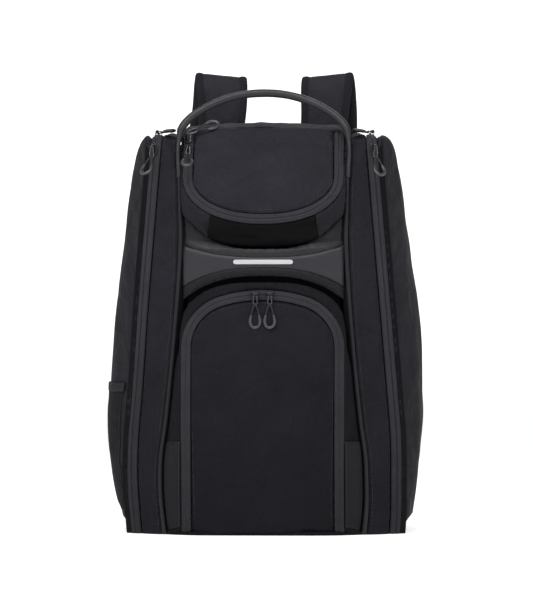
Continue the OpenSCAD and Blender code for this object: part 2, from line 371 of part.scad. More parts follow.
// ---------- shoulder straps ----------
// centre line of the padded part: x, y, z, width factor
SP = [[67, 131.7, 502, 0.94], [67.5, 131.9, 530, 0.98], [68.5, 133.2, 556, 1.03], [69.5, 137, 574, 1.06], [71, 144, 582.5, 1.07], [73, 150.6, 574, 1.07], [75, 153.4, 556, 1.05], [77.5, 153.6, 520, 1.03],
    [81, 153.2, 480, 1], [87, 152.4, 430, 1], [94, 151.4, 375, 0.97], [101, 150.4, 320, 0.92], [106, 149.6, 270, 0.82], [108, 149, 228, 0.62]];
SA = [for (p = SP) [1, 0, 0.1]];
module shoulder_strap(s) color([0.16, 0.16, 0.17]) solid(one_side(band_of([for (p = SP) [p[0], p[1], p[2]]], SA, [for (p = SP) p[3] * strap_w], strap_t), s));
module strap_yoke() color([0.13, 0.13, 0.14])
    translate([0, back_y + back_t + 5.5, 0]) rotate([90, 0, 0]) linear_extrude(5.3) polygon([[-104, 468], [-98, 462], [98, 462], [104, 468], [104, 500.5], [-104, 500.5]]);
lock_p = [108.5, 149, 206];
module ladder_lock(s) color([0.08, 0.08, 0.09]) flip(s) at(lock_p, [1, 0, 0.04], [0, 1, 0.03]) mirror([0, 0, 1]) {
    difference() {
        union() { translate([-16, -14, -2]) cube([32, 27, 4]); translate([-10, -19, -4.2]) rotate([14, 0, 0]) cube([20, 6, 3]); }
        for (y = [6.4, -1.6, -9.6]) translate([-12.8, y - 2.2, -5]) cube([25.6, 4.4, 10]);
    }
}
WEB = [[135, 131.5, 22], [134, 132.5, 40], [130, 137, 70], [124, 142.5, 110], [117, 146.5, 150], [111.5, 148.3, 176], [110, 148.6, 183]];
module lower_webbing() color([0.13, 0.13, 0.14]) solid(both(band_of(WEB, [for (p = WEB) [1, 0, 0.2]], web_w, 1.6)));
module webbing_tail(s) color([0.13, 0.13, 0.14]) solid(one_side(band_of([[109.5, 153.2, 191], [110.5, 155.6, 172], [111.5, 156.4, 140], [112, 156.4, 104]], [for (i = [0 : 3]) [1, 0, 0.03]], web_w, 1.6), s));
module strap_anchor_tabs() color([0.13, 0.13, 0.14]) for (s = [-1, 1]) flip(s)
    translate([0, back_y + back_t + 3.4, 0]) rotate([90, 0, 0]) linear_extrude(3) polygon([[112, 10], [149, 10], [150, 26], [148, 34], [122, 34]]);

back_panel();
back_pads();
base_panel();
compartment_dividers();
top_pocket_floor();
front_gussets();
top_gussets();
rear_gussets();
top_yoke();
strap_yoke();
handle_feet();
top_pocket_surround();
top_pocket_underside();
upper_trim();
reflective_panel();
reflective_strip();
lower_trim();
recess_liner();
front_pocket_frame();
reinforcement_patches();
edge_piping();
lid_zip_fixed();
flap_zip_fixed();
zip_fixed(-1);  // left_zip_fixed
zip_fixed(1);  // right_zip_fixed
strap_anchor_tabs();
top_lid();
lid_zip_moving();
front_flap();
flap_zip_moving();
side_panel(-1);  // left_side_panel
zip_moving(-1);  // left_zip_moving
bottle_pocket();
bottle_pocket_binding();
side_panel(1);  // right_side_panel
zip_moving(1);  // right_zip_moving
carry_handle();
side_slider_front(-1);  // left_zip_slider_front
side_slider_top(-1);  // left_zip_slider_top
side_slider_front(1);  // right_zip_slider_front
side_slider_top(1);  // right_zip_slider_top
lid_slider(lt_f);  // lid_zip_slider_front
lid_slider(lt_t);  // lid_zip_slider_top
flap_slider(-1);  // flap_zip_slider_left
flap_slider(1);  // flap_zip_slider_right
side_pull_front(-1);  // left_zip_pull_front
side_pull_top(-1);  // left_zip_pull_top
side_pull_front(1);  // right_zip_pull_front
side_pull_top(1);  // right_zip_pull_top
lid_pull_front();  // lid_zip_pull_front
lid_pull_top();  // lid_zip_pull_top
flap_pull(-1);  // flap_zip_pull_left
flap_pull(1);  // flap_zip_pull_right
shoulder_strap(-1);  // left_shoulder_strap
shoulder_strap(1);  // right_shoulder_strap
lower_webbing();
ladder_lock(-1);  // left_ladder_lock
ladder_lock(1);  // right_ladder_lock
webbing_tail(-1);  // left_webbing_tail
webbing_tail(1);  // right_webbing_tail
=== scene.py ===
import bpy, math
import numpy as np
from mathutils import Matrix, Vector


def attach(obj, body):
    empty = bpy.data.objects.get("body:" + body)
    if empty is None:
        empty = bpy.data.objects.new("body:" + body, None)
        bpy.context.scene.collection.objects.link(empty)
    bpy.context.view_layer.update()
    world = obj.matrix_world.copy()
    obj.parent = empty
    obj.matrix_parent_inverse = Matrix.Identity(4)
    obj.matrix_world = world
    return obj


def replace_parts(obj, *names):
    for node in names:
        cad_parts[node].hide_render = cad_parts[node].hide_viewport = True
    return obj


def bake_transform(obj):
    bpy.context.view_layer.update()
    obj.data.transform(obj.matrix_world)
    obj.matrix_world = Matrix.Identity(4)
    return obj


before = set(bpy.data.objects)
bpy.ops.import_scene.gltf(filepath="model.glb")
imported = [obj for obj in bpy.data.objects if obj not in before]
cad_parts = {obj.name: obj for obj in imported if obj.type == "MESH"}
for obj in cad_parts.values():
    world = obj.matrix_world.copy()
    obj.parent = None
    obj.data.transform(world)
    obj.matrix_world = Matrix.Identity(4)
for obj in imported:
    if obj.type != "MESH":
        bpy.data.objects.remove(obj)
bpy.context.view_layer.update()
S = 0.001
scene = bpy.context.scene

# ------------------------------------------------------------------ tables
def cv(t, T, k=1):
    T = np.asarray(T, float)
    t = np.asarray(t, float)
    x, y = T[:, 0], T[:, k]
    s = np.empty(len(x))
    s[0] = (y[1] - y[0]) / (x[1] - x[0])
    s[-1] = (y[-1] - y[-2]) / (x[-1] - x[-2])
    s[1:-1] = (y[2:] - y[:-2]) / (x[2:] - x[:-2])
    i = np.clip(np.searchsorted(x, t, side="right") - 1, 0, len(x) - 2)
    h = x[i + 1] - x[i]
    u = (t - x[i]) / h
    a, b, ma, mb = y[i], y[i + 1], s[i] * h, s[i + 1] * h
    r = (2*u**3 - 3*u*u + 1)*a + (u**3 - 2*u*u + u)*ma + (-2*u**3 + 3*u*u)*b + (u**3 - u*u)*mb
    return np.where(u < 0, a + ma*u, np.where(u > 1, b + mb*(u - 1), r))

W_T = [[0, 168], [6, 173.5], [24, 179], [64, 186.5], [104, 192], [145, 194.7], [175, 193.6], [215, 191.8], [256, 188.4],
       [296, 184.6], [336, 179.6], [376, 175], [417, 170.6], [440, 167], [457, 163], [470, 159], [480, 153.5], [487, 146]]
Z_T = [[0, 157.5], [40, 162.4], [80, 164.8], [130, 163.7], [160, 161.2], [200, 157.9]]
J_T = [[5, 121, -116], [45, 126, -118], [93, 126, -118.5], [141, 119.5, -118.5], [214, 112, -118], [287, 106, -116],
       [359, 102, -114], [400, 102.5, -113], [440, 103.5, -109], [470, 104, -99]]
L_T = [[-60, -109.5, 347], [-44, -111.5, 353], [-30, -119.5, 363], [-14, -130, 380.5], [0, -132, 394.7], [25, -129, 420],
       [57, -120, 450.4], [90, -102.8, 478.9], [117, -84, 498], [147, -56, 506.5], [203, 0, 510], [258, 55, 509],
       [292, 89, 505], [321, 117, 499]]
F_T = [[5, -134.5], [14, -138], [40, -144.5], [80, -150], [125, -152.5], [180, -151], [230, -146.5], [270, -140.5], [296, -135.5], [315, -130]]
zip_front_y, zip_rear_y, zip_top_z, zip_corner_r = -97.0, 100.0, 492.0, 24.0
back_y, back_t = 118.0, 8.0
lid_half, lid_end, tape_w = 87.0, 113.5, 6.0
flap_half, flap_top_z, flap_arc_r = 88.0, 289.0, 170.0

def xz(z):
    z = np.asarray(z, float)
    return np.where(z > 130, 163.7 - (z - 130)*0.0835, cv(z, Z_T))
def xj(z): return cv(z, J_T, 1)
def yj(z): return cv(z, J_T, 2)
def unit(v):
    v = np.asarray(v, float)
    return v / np.maximum(np.linalg.norm(v, axis=-1, keepdims=True), 1e-9)
def lerp(a, b, u): return a + (b - a)*u
def smooth(x): 
    x = np.clip(x, 0, 1)
    return x*x*(3 - 2*x)

# ------------------------------------------------------------------ noise made of seeded waves
def waves(P, scale, seed, n=14, stretch=(1, 1, 1)):
    r = np.random.default_rng(seed)
    Q = P / (np.array(stretch, float)*scale)
    out = np.zeros(P.shape[:-1])
    for _ in range(n):
        d = r.normal(size=3)
        d /= np.linalg.norm(d)
        k = 2*math.pi*r.uniform(0.55, 1.6)
        out += np.sin(Q @ (d*k) + r.uniform(0, 6.28))
    return out / math.sqrt(n)

# ------------------------------------------------------------------ mesh building
def warp(V, name):
    """soft shapes the flat-sheet tables leave out: full top corners, a flatter lid fold, edges that reach the floor"""
    V = np.array(V, float); x, y, z = V[:, 0].copy(), V[:, 1].copy(), V[:, 2].copy()
    ax = np.abs(x)
    if not name.startswith(("carry_handle", "left_shoulder", "right_shoulder", "back_p")):
        V[:, 2] += (3.5*smooth((z - 468)/18)*smooth((ax - 126)/9) + 7.0*smooth((z - 452)/24)*smooth((ax - 137)/10))*(1 - 0.5*smooth(y/90))
        V[:, 2] += 6.0*smooth((z - 482)/13)*smooth((-y - 22)/40)*(1 - smooth((ax - 95)/8))
    if not name.startswith("base_"):
        V[:, 2] = np.where(z < 35, np.maximum(V[:, 2] - (4.4 + 3.6*smooth((ax - 100)/15))*(1 - smooth(z/35)), 0.5), V[:, 2])
    V[:, 0] += 4.6*smooth((x - 96)/45)*(1 - smooth(z/80)) + 2.2*smooth((-x - 120)/40)*np.exp(-((z - 170)/100)**2)
    return V

def make_object(name, V, F, uv=None, smooth_shade=True):
    if not name.startswith("sim_"): V = warp(V, name)
    me = bpy.data.meshes.new(name)
    me.from_pydata((np.asarray(V)*S).tolist(), [], [list(map(int, f)) for f in F])
    me.validate()
    if uv is not None:
        lay = me.uv_layers.new(name="UVMap")
        li = np.empty(len(me.loops), dtype=np.int32)
        me.loops.foreach_get("vertex_index", li)
        lay.data.foreach_set("uv", (np.asarray(uv)[li]).astype(np.float32).ravel())
    me.update()
    ob = bpy.data.objects.new(name, me)
    scene.collection.objects.link(ob)
    if smooth_shade:
        for p in me.polygons:
            p.use_smooth = True
    return ob

def normals(P):
    di = np.gradient(P, axis=0)
    dj = np.gradient(P, axis=1)
    return unit(np.cross(di, dj))

def arc_uv(P):
    n, m = P.shape[:2]
    du = np.linalg.norm(np.diff(P, axis=1), axis=2)
    dv = np.linalg.norm(np.diff(P, axis=0), axis=2)
    U = np.concatenate([np.zeros((n, 1)), np.cumsum(du, axis=1)], axis=1)
    Vv = np.concatenate([np.zeros((1, m)), np.cumsum(dv, axis=0)], axis=0)
    U = U - U.mean(axis=1, keepdims=True)
    return np.stack([U*S, Vv*S], axis=-1)

def grid_data(P, t):
    """closed thin solid of a grid; thickness t along cross(di, dj)"""
    n, m = P.shape[:2]
    N = normals(P)
    k = n*m
    V = np.concatenate([P.reshape(-1, 3), (P + t*N).reshape(-1, 3)])
    I = np.arange(k).reshape(n, m)
    a, b, c, d = I[:-1, :-1].ravel(), I[1:, :-1].ravel(), I[1:, 1:].ravel(), I[:-1, 1:].ravel()
    front = np.stack([d, c, b, a], 1)
    back = np.stack([a, b, c, d], 1) + k
    rims = []
    for line, rev in ((I[:, 0], False), (I[:, -1], True), (I[0, :], True), (I[-1, :], False)):
        p, q = line[:-1], line[1:]
        r = np.stack([p, q, q + k, p + k], 1)
        rims.append(r[:, ::-1] if rev else r)
    F = np.concatenate([front, back] + rims)
    if t < 0:
        F = F[:, ::-1]
    uv = arc_uv(P).reshape(-1, 2)
    return V, F, np.concatenate([uv, uv])

def mirror_data(D):
    V, F, uv = D
    V = V.copy(); V[:, 0] *= -1
    return V, np.asarray(F)[:, ::-1], uv

def join_data(*Ds):
    V, F, U, k = [], [], [], 0
    for v, f, u in Ds:
        V.append(v); F.append(np.asarray(f) + k); U.append(u); k += len(v)
    if len({f.shape[1] for f in F}) == 1:
        F = np.concatenate(F)
    else:
        F = [list(r) for f in F for r in f]
    return np.concatenate(V), F, np.concatenate(U)

def frames(P):
    P = np.asarray(P, float)
    T = unit(np.gradient(P, axis=0))
    return T

def resample(P, step):
    P = np.asarray(P, float)
    d = np.concatenate([[0], np.cumsum(np.linalg.norm(np.diff(P, axis=0), axis=1))])
    n = max(2, int(round(d[-1]/step)) + 1)
    s = np.linspace(0, d[-1], n)
    return np.stack([np.interp(s, d, P[:, k]) for k in range(P.shape[1])], 1)

def smooth_path(P, step=2.0):
    """Catmull-Rom through points, then even spacing"""
    P = np.asarray(P, float)
    Q = np.concatenate([[2*P[0] - P[1]], P, [2*P[-1] - P[-2]]])
    out = []
    for i in range(len(P) - 1):
        p0, p1, p2, p3 = Q[i], Q[i+1], Q[i+2], Q[i+3]
        for u in np.linspace(0, 1, 12, endpoint=False):
            out.append(0.5*((2*p1) + (-p0 + p2)*u + (2*p0 - 5*p1 + 4*p2 - p3)*u*u + (-p0 + 3*p1 - 3*p2 + p3)*u**3))
    out.append(P[-1])
    return resample(np.array(out), step)

def tube_data(P, r, ref=(0, 1, 0), n=12, flat=1.0, caps=True):
    P = np.asarray(P, float)
    T = frames(P)
    a = unit(np.cross(T, np.asarray(ref, float)))
    b = np.cross(a, T)
    r = np.broadcast_to(np.asarray(r, float), (len(P),))
    th = np.linspace(0, 2*math.pi, n, endpoint=False)
    V = P[:, None] + r[:, None, None]*(np.cos(th)[None, :, None]*a[:, None] + flat*np.sin(th)[None, :, None]*b[:, None])
    k = len(P)
    I = np.arange(k*n).reshape(k, n)
    J = np.roll(I, -1, axis=1)
    F = np.stack([I[:-1].ravel(), J[:-1].ravel(), J[1:].ravel(), I[1:].ravel()], 1)
    F = F[:, ::-1]
    V = V.reshape(-1, 3)
    d = np.concatenate([[0], np.cumsum(np.linalg.norm(np.diff(P, axis=0), axis=1))])
    uv = np.stack([np.broadcast_to(th/(2*math.pi)*2*math.pi*np.mean(r)*S, (k, n)), np.broadcast_to(d[:, None]*S, (k, n))], -1).reshape(-1, 2)
    if caps:
        V = np.concatenate([V, [P[0], P[-1]]])
        uv = np.concatenate([uv, [[0, 0], [0, d[-1]*S]]])
        c0, c1 = k*n, k*n + 1
        A = np.stack([np.full(n, c0), I[0], J[0], J[0]], 1)
        B = np.stack([np.full(n, c1), J[-1], I[-1], I[-1]], 1)
        F = [list(f) for f in F] + [[x[0], x[1], x[2]] for x in A] + [[x[0], x[1], x[2]] for x in B]
    return V, F, uv

def join_any(*Ds):
    V, F, U, k = [], [], [], 0
    for v, f, u in Ds:
        V.append(np.asarray(v)); U.append(np.asarray(u))
        F += [[int(x) + k for x in r] for r in f]
        k += len(v)
    return np.concatenate(V), F, np.concatenate(U)

def mirror_any(D):
    V, F, uv = D
    V = np.array(V, float); V[:, 0] *= -1
    return V, [list(r)[::-1] for r in F], uv

def ribbon_data(P, A, w, t, nw=8, crown=0.0, edge=0.45):
    """padded or flat band along P, across direction A; a rounded section"""
    P = np.asarray(P, float)
    A = np.asarray(A, float)
    if A.ndim == 1:
        A = np.broadcast_to(A, P.shape)
    T = frames(P)
    a = unit(A - (A*T).sum(1, keepdims=True)*T)
    b = np.cross(T, a)
    w = np.broadcast_to(np.asarray(w, float), (len(P),))
    s = np.linspace(-1, 1, nw)
    prof = np.concatenate([np.stack([s, np.sqrt(np.maximum(0, 1 - np.abs(s)**(2/edge)))], 1),
                           np.stack([s[::-1][1:-1], -np.sqrt(np.maximum(0, 1 - np.abs(s[::-1][1:-1])**(2/edge)))], 1)])
    n, k = len(prof), len(P)
    V = P[:, None] + prof[None, :, 0, None]*(w[:, None, None]/2)*a[:, None] + prof[None, :, 1, None]*(t/2)*b[:, None]
    if crown:
        V = V + (crown*(1 - prof[:, 0]**2)*np.sign(prof[:, 1]))[None, :, None]*b[:, None]
    I = np.arange(k*n).reshape(k, n)
    J = np.roll(I, -1, axis=1)
    F = [list(f) for f in np.stack([I[:-1].ravel(), I[1:].ravel(), J[1:].ravel(), J[:-1].ravel()], 1)]
    F += [list(I[0]), list(I[-1][::-1])]
    d = np.concatenate([[0], np.cumsum(np.linalg.norm(np.diff(P, axis=0), axis=1))])
    uv = np.stack([prof[None, :, 0]*(w[:, None]/2)*S, np.broadcast_to(d[:, None]*S, (k, n))], -1).reshape(-1, 2)
    return V.reshape(-1, 3), F, uv

def stitch_data(P, N, length=2.7, gap=1.3, r=0.34, lift=0.15):
    """a row of small stitches along a path that lies on a surface with outward normals N"""
    P = np.asarray(P, float)
    N = np.broadcast_to(np.asarray(N, float), P.shape)
    Q = np.concatenate([P, N], 1)
    d = np.concatenate([[0], np.cumsum(np.linalg.norm(np.diff(P, axis=0), axis=1))])
    starts = np.arange(gap, d[-1] - length, length + gap)
    if not len(starts):
        return None
    ev = lambda s: np.stack([np.interp(s, d, Q[:, k]) for k in range(6)], 1)
    a, b = ev(starts), ev(starts + length)
    nn = unit(a[:, 3:])
    T = unit(b[:, :3] - a[:, :3])
    sd = np.cross(T, nn)
    rows = []
    for u, h, q in ((0, -0.25, 0.35), (0.2, 0.8, 0.9), (0.5, 1.1, 1.0), (0.8, 0.8, 0.9), (1, -0.25, 0.35)):
        c = lerp(a[:, :3], b[:, :3], u) + nn*(lift + r*(h - 0.6))
        for ang in (0, 72, 144, 216, 288):
            th = math.radians(ang)
            rows.append(c + r*q*(math.cos(th)*sd + 0.8*math.sin(th)*nn))
    V = np.stack(rows, 1).reshape(-1, 3)
    m = len(rows)
    base = []
    for k in range(4):
        for j in range(5):
            j2 = (j + 1) % 5
            base.append([k*5 + j, k*5 + j2, (k + 1)*5 + j2, (k + 1)*5 + j])
    base = np.array(base)
    F = (base[None] + (np.arange(len(starts))*m)[:, None, None]).reshape(-1, 4)
    caps = []
    for s in range(len(starts)):
        caps.append([s*m + j for j in (4, 3, 2, 1, 0)])
        caps.append([s*m + 20 + j for j in (0, 1, 2, 3, 4)])
    return V, [list(f) for f in F] + caps, np.zeros((len(V), 2))

# ------------------------------------------------------------------ materials
def srgb(r, g, b, k=1.0):
    f = lambda c: (c/12.92 if c <= 0.04045 else ((c + 0.055)/1.055)**2.4)
    return tuple(min(1.0, f(v/255.0)*k) for v in (r, g, b)) + (1.0,)

ALB = 0.62
class Nodes:
    def __init__(self, name):
        self.m = bpy.data.materials.new(name)
        self.m.use_nodes = True
        self.t = self.m.node_tree
        self.t.nodes.clear()
        self.out = self.t.nodes.new("ShaderNodeOutputMaterial")
        self.b = self.t.nodes.new("ShaderNodeBsdfPrincipled")
        self.t.links.new(self.b.outputs[0], self.out.inputs[0])
    def n(self, kind, **kw):
        x = self.t.nodes.new(kind)
        for k, v in kw.items():
            if k in ("operation", "blend_type", "data_type", "wave_type", "bands_direction", "wave_profile", "feature", "distance", "noise_dimensions", "interpolation_type", "clamp"):
                setattr(x, k, v)
            elif k.startswith("i_"):
                x.inputs[k[2:].replace("_", " ")].default_value = v
            elif k.startswith("p"):
                x.inputs[int(k[1:])].default_value = v
        return x
    def l(self, a, b): self.t.links.new(a, b)

def mix_rgb(N, fac, a, b, blend="MIX"):
    x = N.n("ShaderNodeMix", data_type="RGBA", blend_type=blend)
    if hasattr(fac, "is_linked"): N.l(fac, x.inputs[0])
    else: x.inputs[0].default_value = fac
    for s, v in ((6, a), (7, b)):
        if hasattr(v, "is_linked"): N.l(v, x.inputs[s])
        else: x.inputs[s].default_value = v
    return x.outputs[2]

def ramp(N, src, lo, hi, a=0.0, b=1.0):
    x = N.n("ShaderNodeMapRange")
    N.l(src, x.inputs[0])
    x.inputs[1].default_value, x.inputs[2].default_value = lo, hi
    x.inputs[3].default_value, x.inputs[4].default_value = a, b
    return x.outputs[0]

def cloth_material(name, col, rough=0.78, sheen=0.0, thread=0.55, weave=0.6, mottle=0.2, grain=0.3, spec=0.1, bump=0.35, coat=0.0, rib=None, uv=True, painted_bottom_shade=1.0, crease=0.0):
    """woven cloth: threads over and under at `thread` millimetres, with slow colour variation and fine grain, and
    painted shade that darkens the colour towards the bottom (object z under 0.3 m)
    """
    N = Nodes(name)
    tc = N.n("ShaderNodeTexCoord")
    base = tc.outputs["UV"] if uv else tc.outputs["Object"]
    big = N.n("ShaderNodeTexNoise"); N.l(tc.outputs["Object"], big.inputs["Vector"])
    big.inputs["Scale"].default_value = 22; big.inputs["Detail"].default_value = 4; big.inputs["Roughness"].default_value = 0.6
    mid = N.n("ShaderNodeTexNoise"); N.l(tc.outputs["Object"], mid.inputs["Vector"])
    mid.inputs["Scale"].default_value = 420; mid.inputs["Detail"].default_value = 3; mid.inputs["Roughness"].default_value = 0.7
    fine = N.n("ShaderNodeTexNoise"); N.l(tc.outputs["Object"], fine.inputs["Vector"])
    fine.inputs["Scale"].default_value = 1500; fine.inputs["Detail"].default_value = 2
    height = None
    if weave > 0:
        sep = N.n("ShaderNodeSeparateXYZ"); N.l(base, sep.inputs[0])
        k = math.pi/(thread*S)
        def wave(o, phase=0.0, mult=1.0):
            m = N.n("ShaderNodeMath", operation="MULTIPLY_ADD"); N.l(o, m.inputs[0]); m.inputs[1].default_value = k*mult; m.inputs[2].default_value = phase
            s = N.n("ShaderNodeMath", operation="SINE"); N.l(m.outputs[0], s.inputs[0]); return s.outputs[0]
        a, b = wave(sep.outputs[0]), wave(sep.outputs[1])
        pr = N.n("ShaderNodeMath", operation="MULTIPLY"); N.l(a, pr.inputs[0]); N.l(b, pr.inputs[1])
        height = pr.outputs[0]
        if rib:
            height = wave(sep.outputs[0 if rib[0] == "u" else 1], 0.0, rib[1])
    c0 = srgb(*col, k=ALB); dark = tuple(v*(1 - mottle) for v in c0[:3]) + (1,); light = tuple(min(1, v*(1 + mottle)) for v in c0[:3]) + (1,)
    c = mix_rgb(N, ramp(N, big.outputs[0], 0.3, 0.7), dark, light)
    c = mix_rgb(N, ramp(N, mid.outputs[0], 0.3, 0.72, 0, grain*1.6), c, tuple(v*0.45 for v in c0[:3]) + (1,))
    if height is not None:
        c = mix_rgb(N, ramp(N, height, -1, 1, 0, weave*0.8), c, tuple(min(1, v*1.55) for v in c0[:3]) + (1,))
    # painted shade: the colour is scaled from the bottom-shade factor at z = 0 up to full strength at z = 0.30 m,
    # standing in for the dimmer light low on the bag
    if painted_bottom_shade < 1:
        sz = N.n("ShaderNodeSeparateXYZ"); N.l(tc.outputs["Object"], sz.inputs[0])
        vm = N.n("ShaderNodeVectorMath", operation="SCALE"); N.l(c, vm.inputs[0])
        N.l(ramp(N, sz.outputs[2], 0.0, 0.30, painted_bottom_shade, 1.0), vm.inputs["Scale"]); c = vm.outputs[0]
    N.l(c, N.b.inputs["Base Color"])
    rg = ramp(N, mid.outputs[0], 0.3, 0.7, max(0.05, rough - 0.07), min(1, rough + 0.07))
    N.l(rg, N.b.inputs["Roughness"])
    N.b.inputs["Specular IOR Level"].default_value = spec
    N.b.inputs["Sheen Weight"].default_value = sheen
    N.b.inputs["Sheen Roughness"].default_value = 0.45
    if coat:
        N.b.inputs["Coat Weight"].default_value = coat
        N.b.inputs["Coat Roughness"].default_value = 0.35
    bm = N.n("ShaderNodeBump"); bm.inputs["Strength"].default_value = bump; bm.inputs["Distance"].default_value = 0.00012
    if height is not None:
        s = N.n("ShaderNodeMath", operation="MULTIPLY_ADD"); N.l(height, s.inputs[0]); s.inputs[1].default_value = weave; N.l(fine.outputs[0], s.inputs[2])
        N.l(s.outputs[0], bm.inputs["Height"])
    else:
        N.l(mid.outputs[0], bm.inputs["Height"])
    if crease:
        cr = N.n("ShaderNodeTexNoise"); N.l(tc.outputs["Object"], cr.inputs["Vector"])
        cr.inputs["Scale"].default_value = 26; cr.inputs["Detail"].default_value = 3; cr.inputs["Roughness"].default_value = 0.45; cr.inputs["Distortion"].default_value = 1.2
        bc = N.n("ShaderNodeBump"); bc.inputs["Strength"].default_value = crease; bc.inputs["Distance"].default_value = 0.008
        N.l(cr.outputs[0], bc.inputs["Height"]); N.l(bc.outputs[0], bm.inputs["Normal"])
    N.l(bm.outputs[0], N.b.inputs["Normal"])
    return N.m

def mesh_material(name, col, cell=3.2, rough=0.85):
    """padded spacer mesh: round holes in a knitted face"""
    N = Nodes(name)
    tc = N.n("ShaderNodeTexCoord")
    v = N.n("ShaderNodeTexVoronoi", feature="F1"); N.l(tc.outputs["Object"], v.inputs["Vector"])
    v.inputs["Scale"].default_value = 1000/cell; v.inputs["Randomness"].default_value = 0.25
    nz = N.n("ShaderNodeTexNoise"); N.l(tc.outputs["Object"], nz.inputs["Vector"]); nz.inputs["Scale"].default_value = 900
    c0 = srgb(*col, k=ALB)
    hole = ramp(N, v.outputs["Distance"], 0.22, 0.40)
    c = mix_rgb(N, hole, tuple(x*0.22 for x in c0[:3]) + (1,), c0)
    c = mix_rgb(N, ramp(N, nz.outputs[0], 0.3, 0.7, 0, 0.35), c, tuple(x*1.5 for x in c0[:3]) + (1,))
    N.l(c, N.b.inputs["Base Color"])
    N.b.inputs["Roughness"].default_value = rough
    N.b.inputs["Specular IOR Level"].default_value = 0.1
    bm = N.n("ShaderNodeBump"); bm.inputs["Strength"].default_value = 0.8; bm.inputs["Distance"].default_value = 0.0006
    N.l(hole, bm.inputs["Height"]); N.l(bm.outputs[0], N.b.inputs["Normal"])
    return N.m

def hard_material(name, col, rough, metal=0.0, spec=0.5, scale=300, bump=0.1, coat=0.0):
    N = Nodes(name)
    tc = N.n("ShaderNodeTexCoord")
    nz = N.n("ShaderNodeTexNoise"); N.l(tc.outputs["Object"], nz.inputs["Vector"]); nz.inputs["Scale"].default_value = scale; nz.inputs["Detail"].default_value = 5
    big = N.n("ShaderNodeTexNoise"); N.l(tc.outputs["Object"], big.inputs["Vector"]); big.inputs["Scale"].default_value = scale/9
    c0 = srgb(*col)
    c = mix_rgb(N, ramp(N, nz.outputs[0], 0.3, 0.75), tuple(x*0.82 for x in c0[:3]) + (1,), tuple(min(1, x*1.15) for x in c0[:3]) + (1,))
    N.l(c, N.b.inputs["Base Color"])
    N.l(ramp(N, big.outputs[0], 0.3, 0.7, max(0.04, rough - 0.08), min(1, rough + 0.08)), N.b.inputs["Roughness"])
    N.b.inputs["Metallic"].default_value = metal
    N.b.inputs["Specular IOR Level"].default_value = spec
    if coat:
        N.b.inputs["Coat Weight"].default_value = coat
    bm = N.n("ShaderNodeBump"); bm.inputs["Strength"].default_value = bump; bm.inputs["Distance"].default_value = 0.0002
    N.l(nz.outputs[0], bm.inputs["Height"]); N.l(bm.outputs[0], N.b.inputs["Normal"])
    return N.m

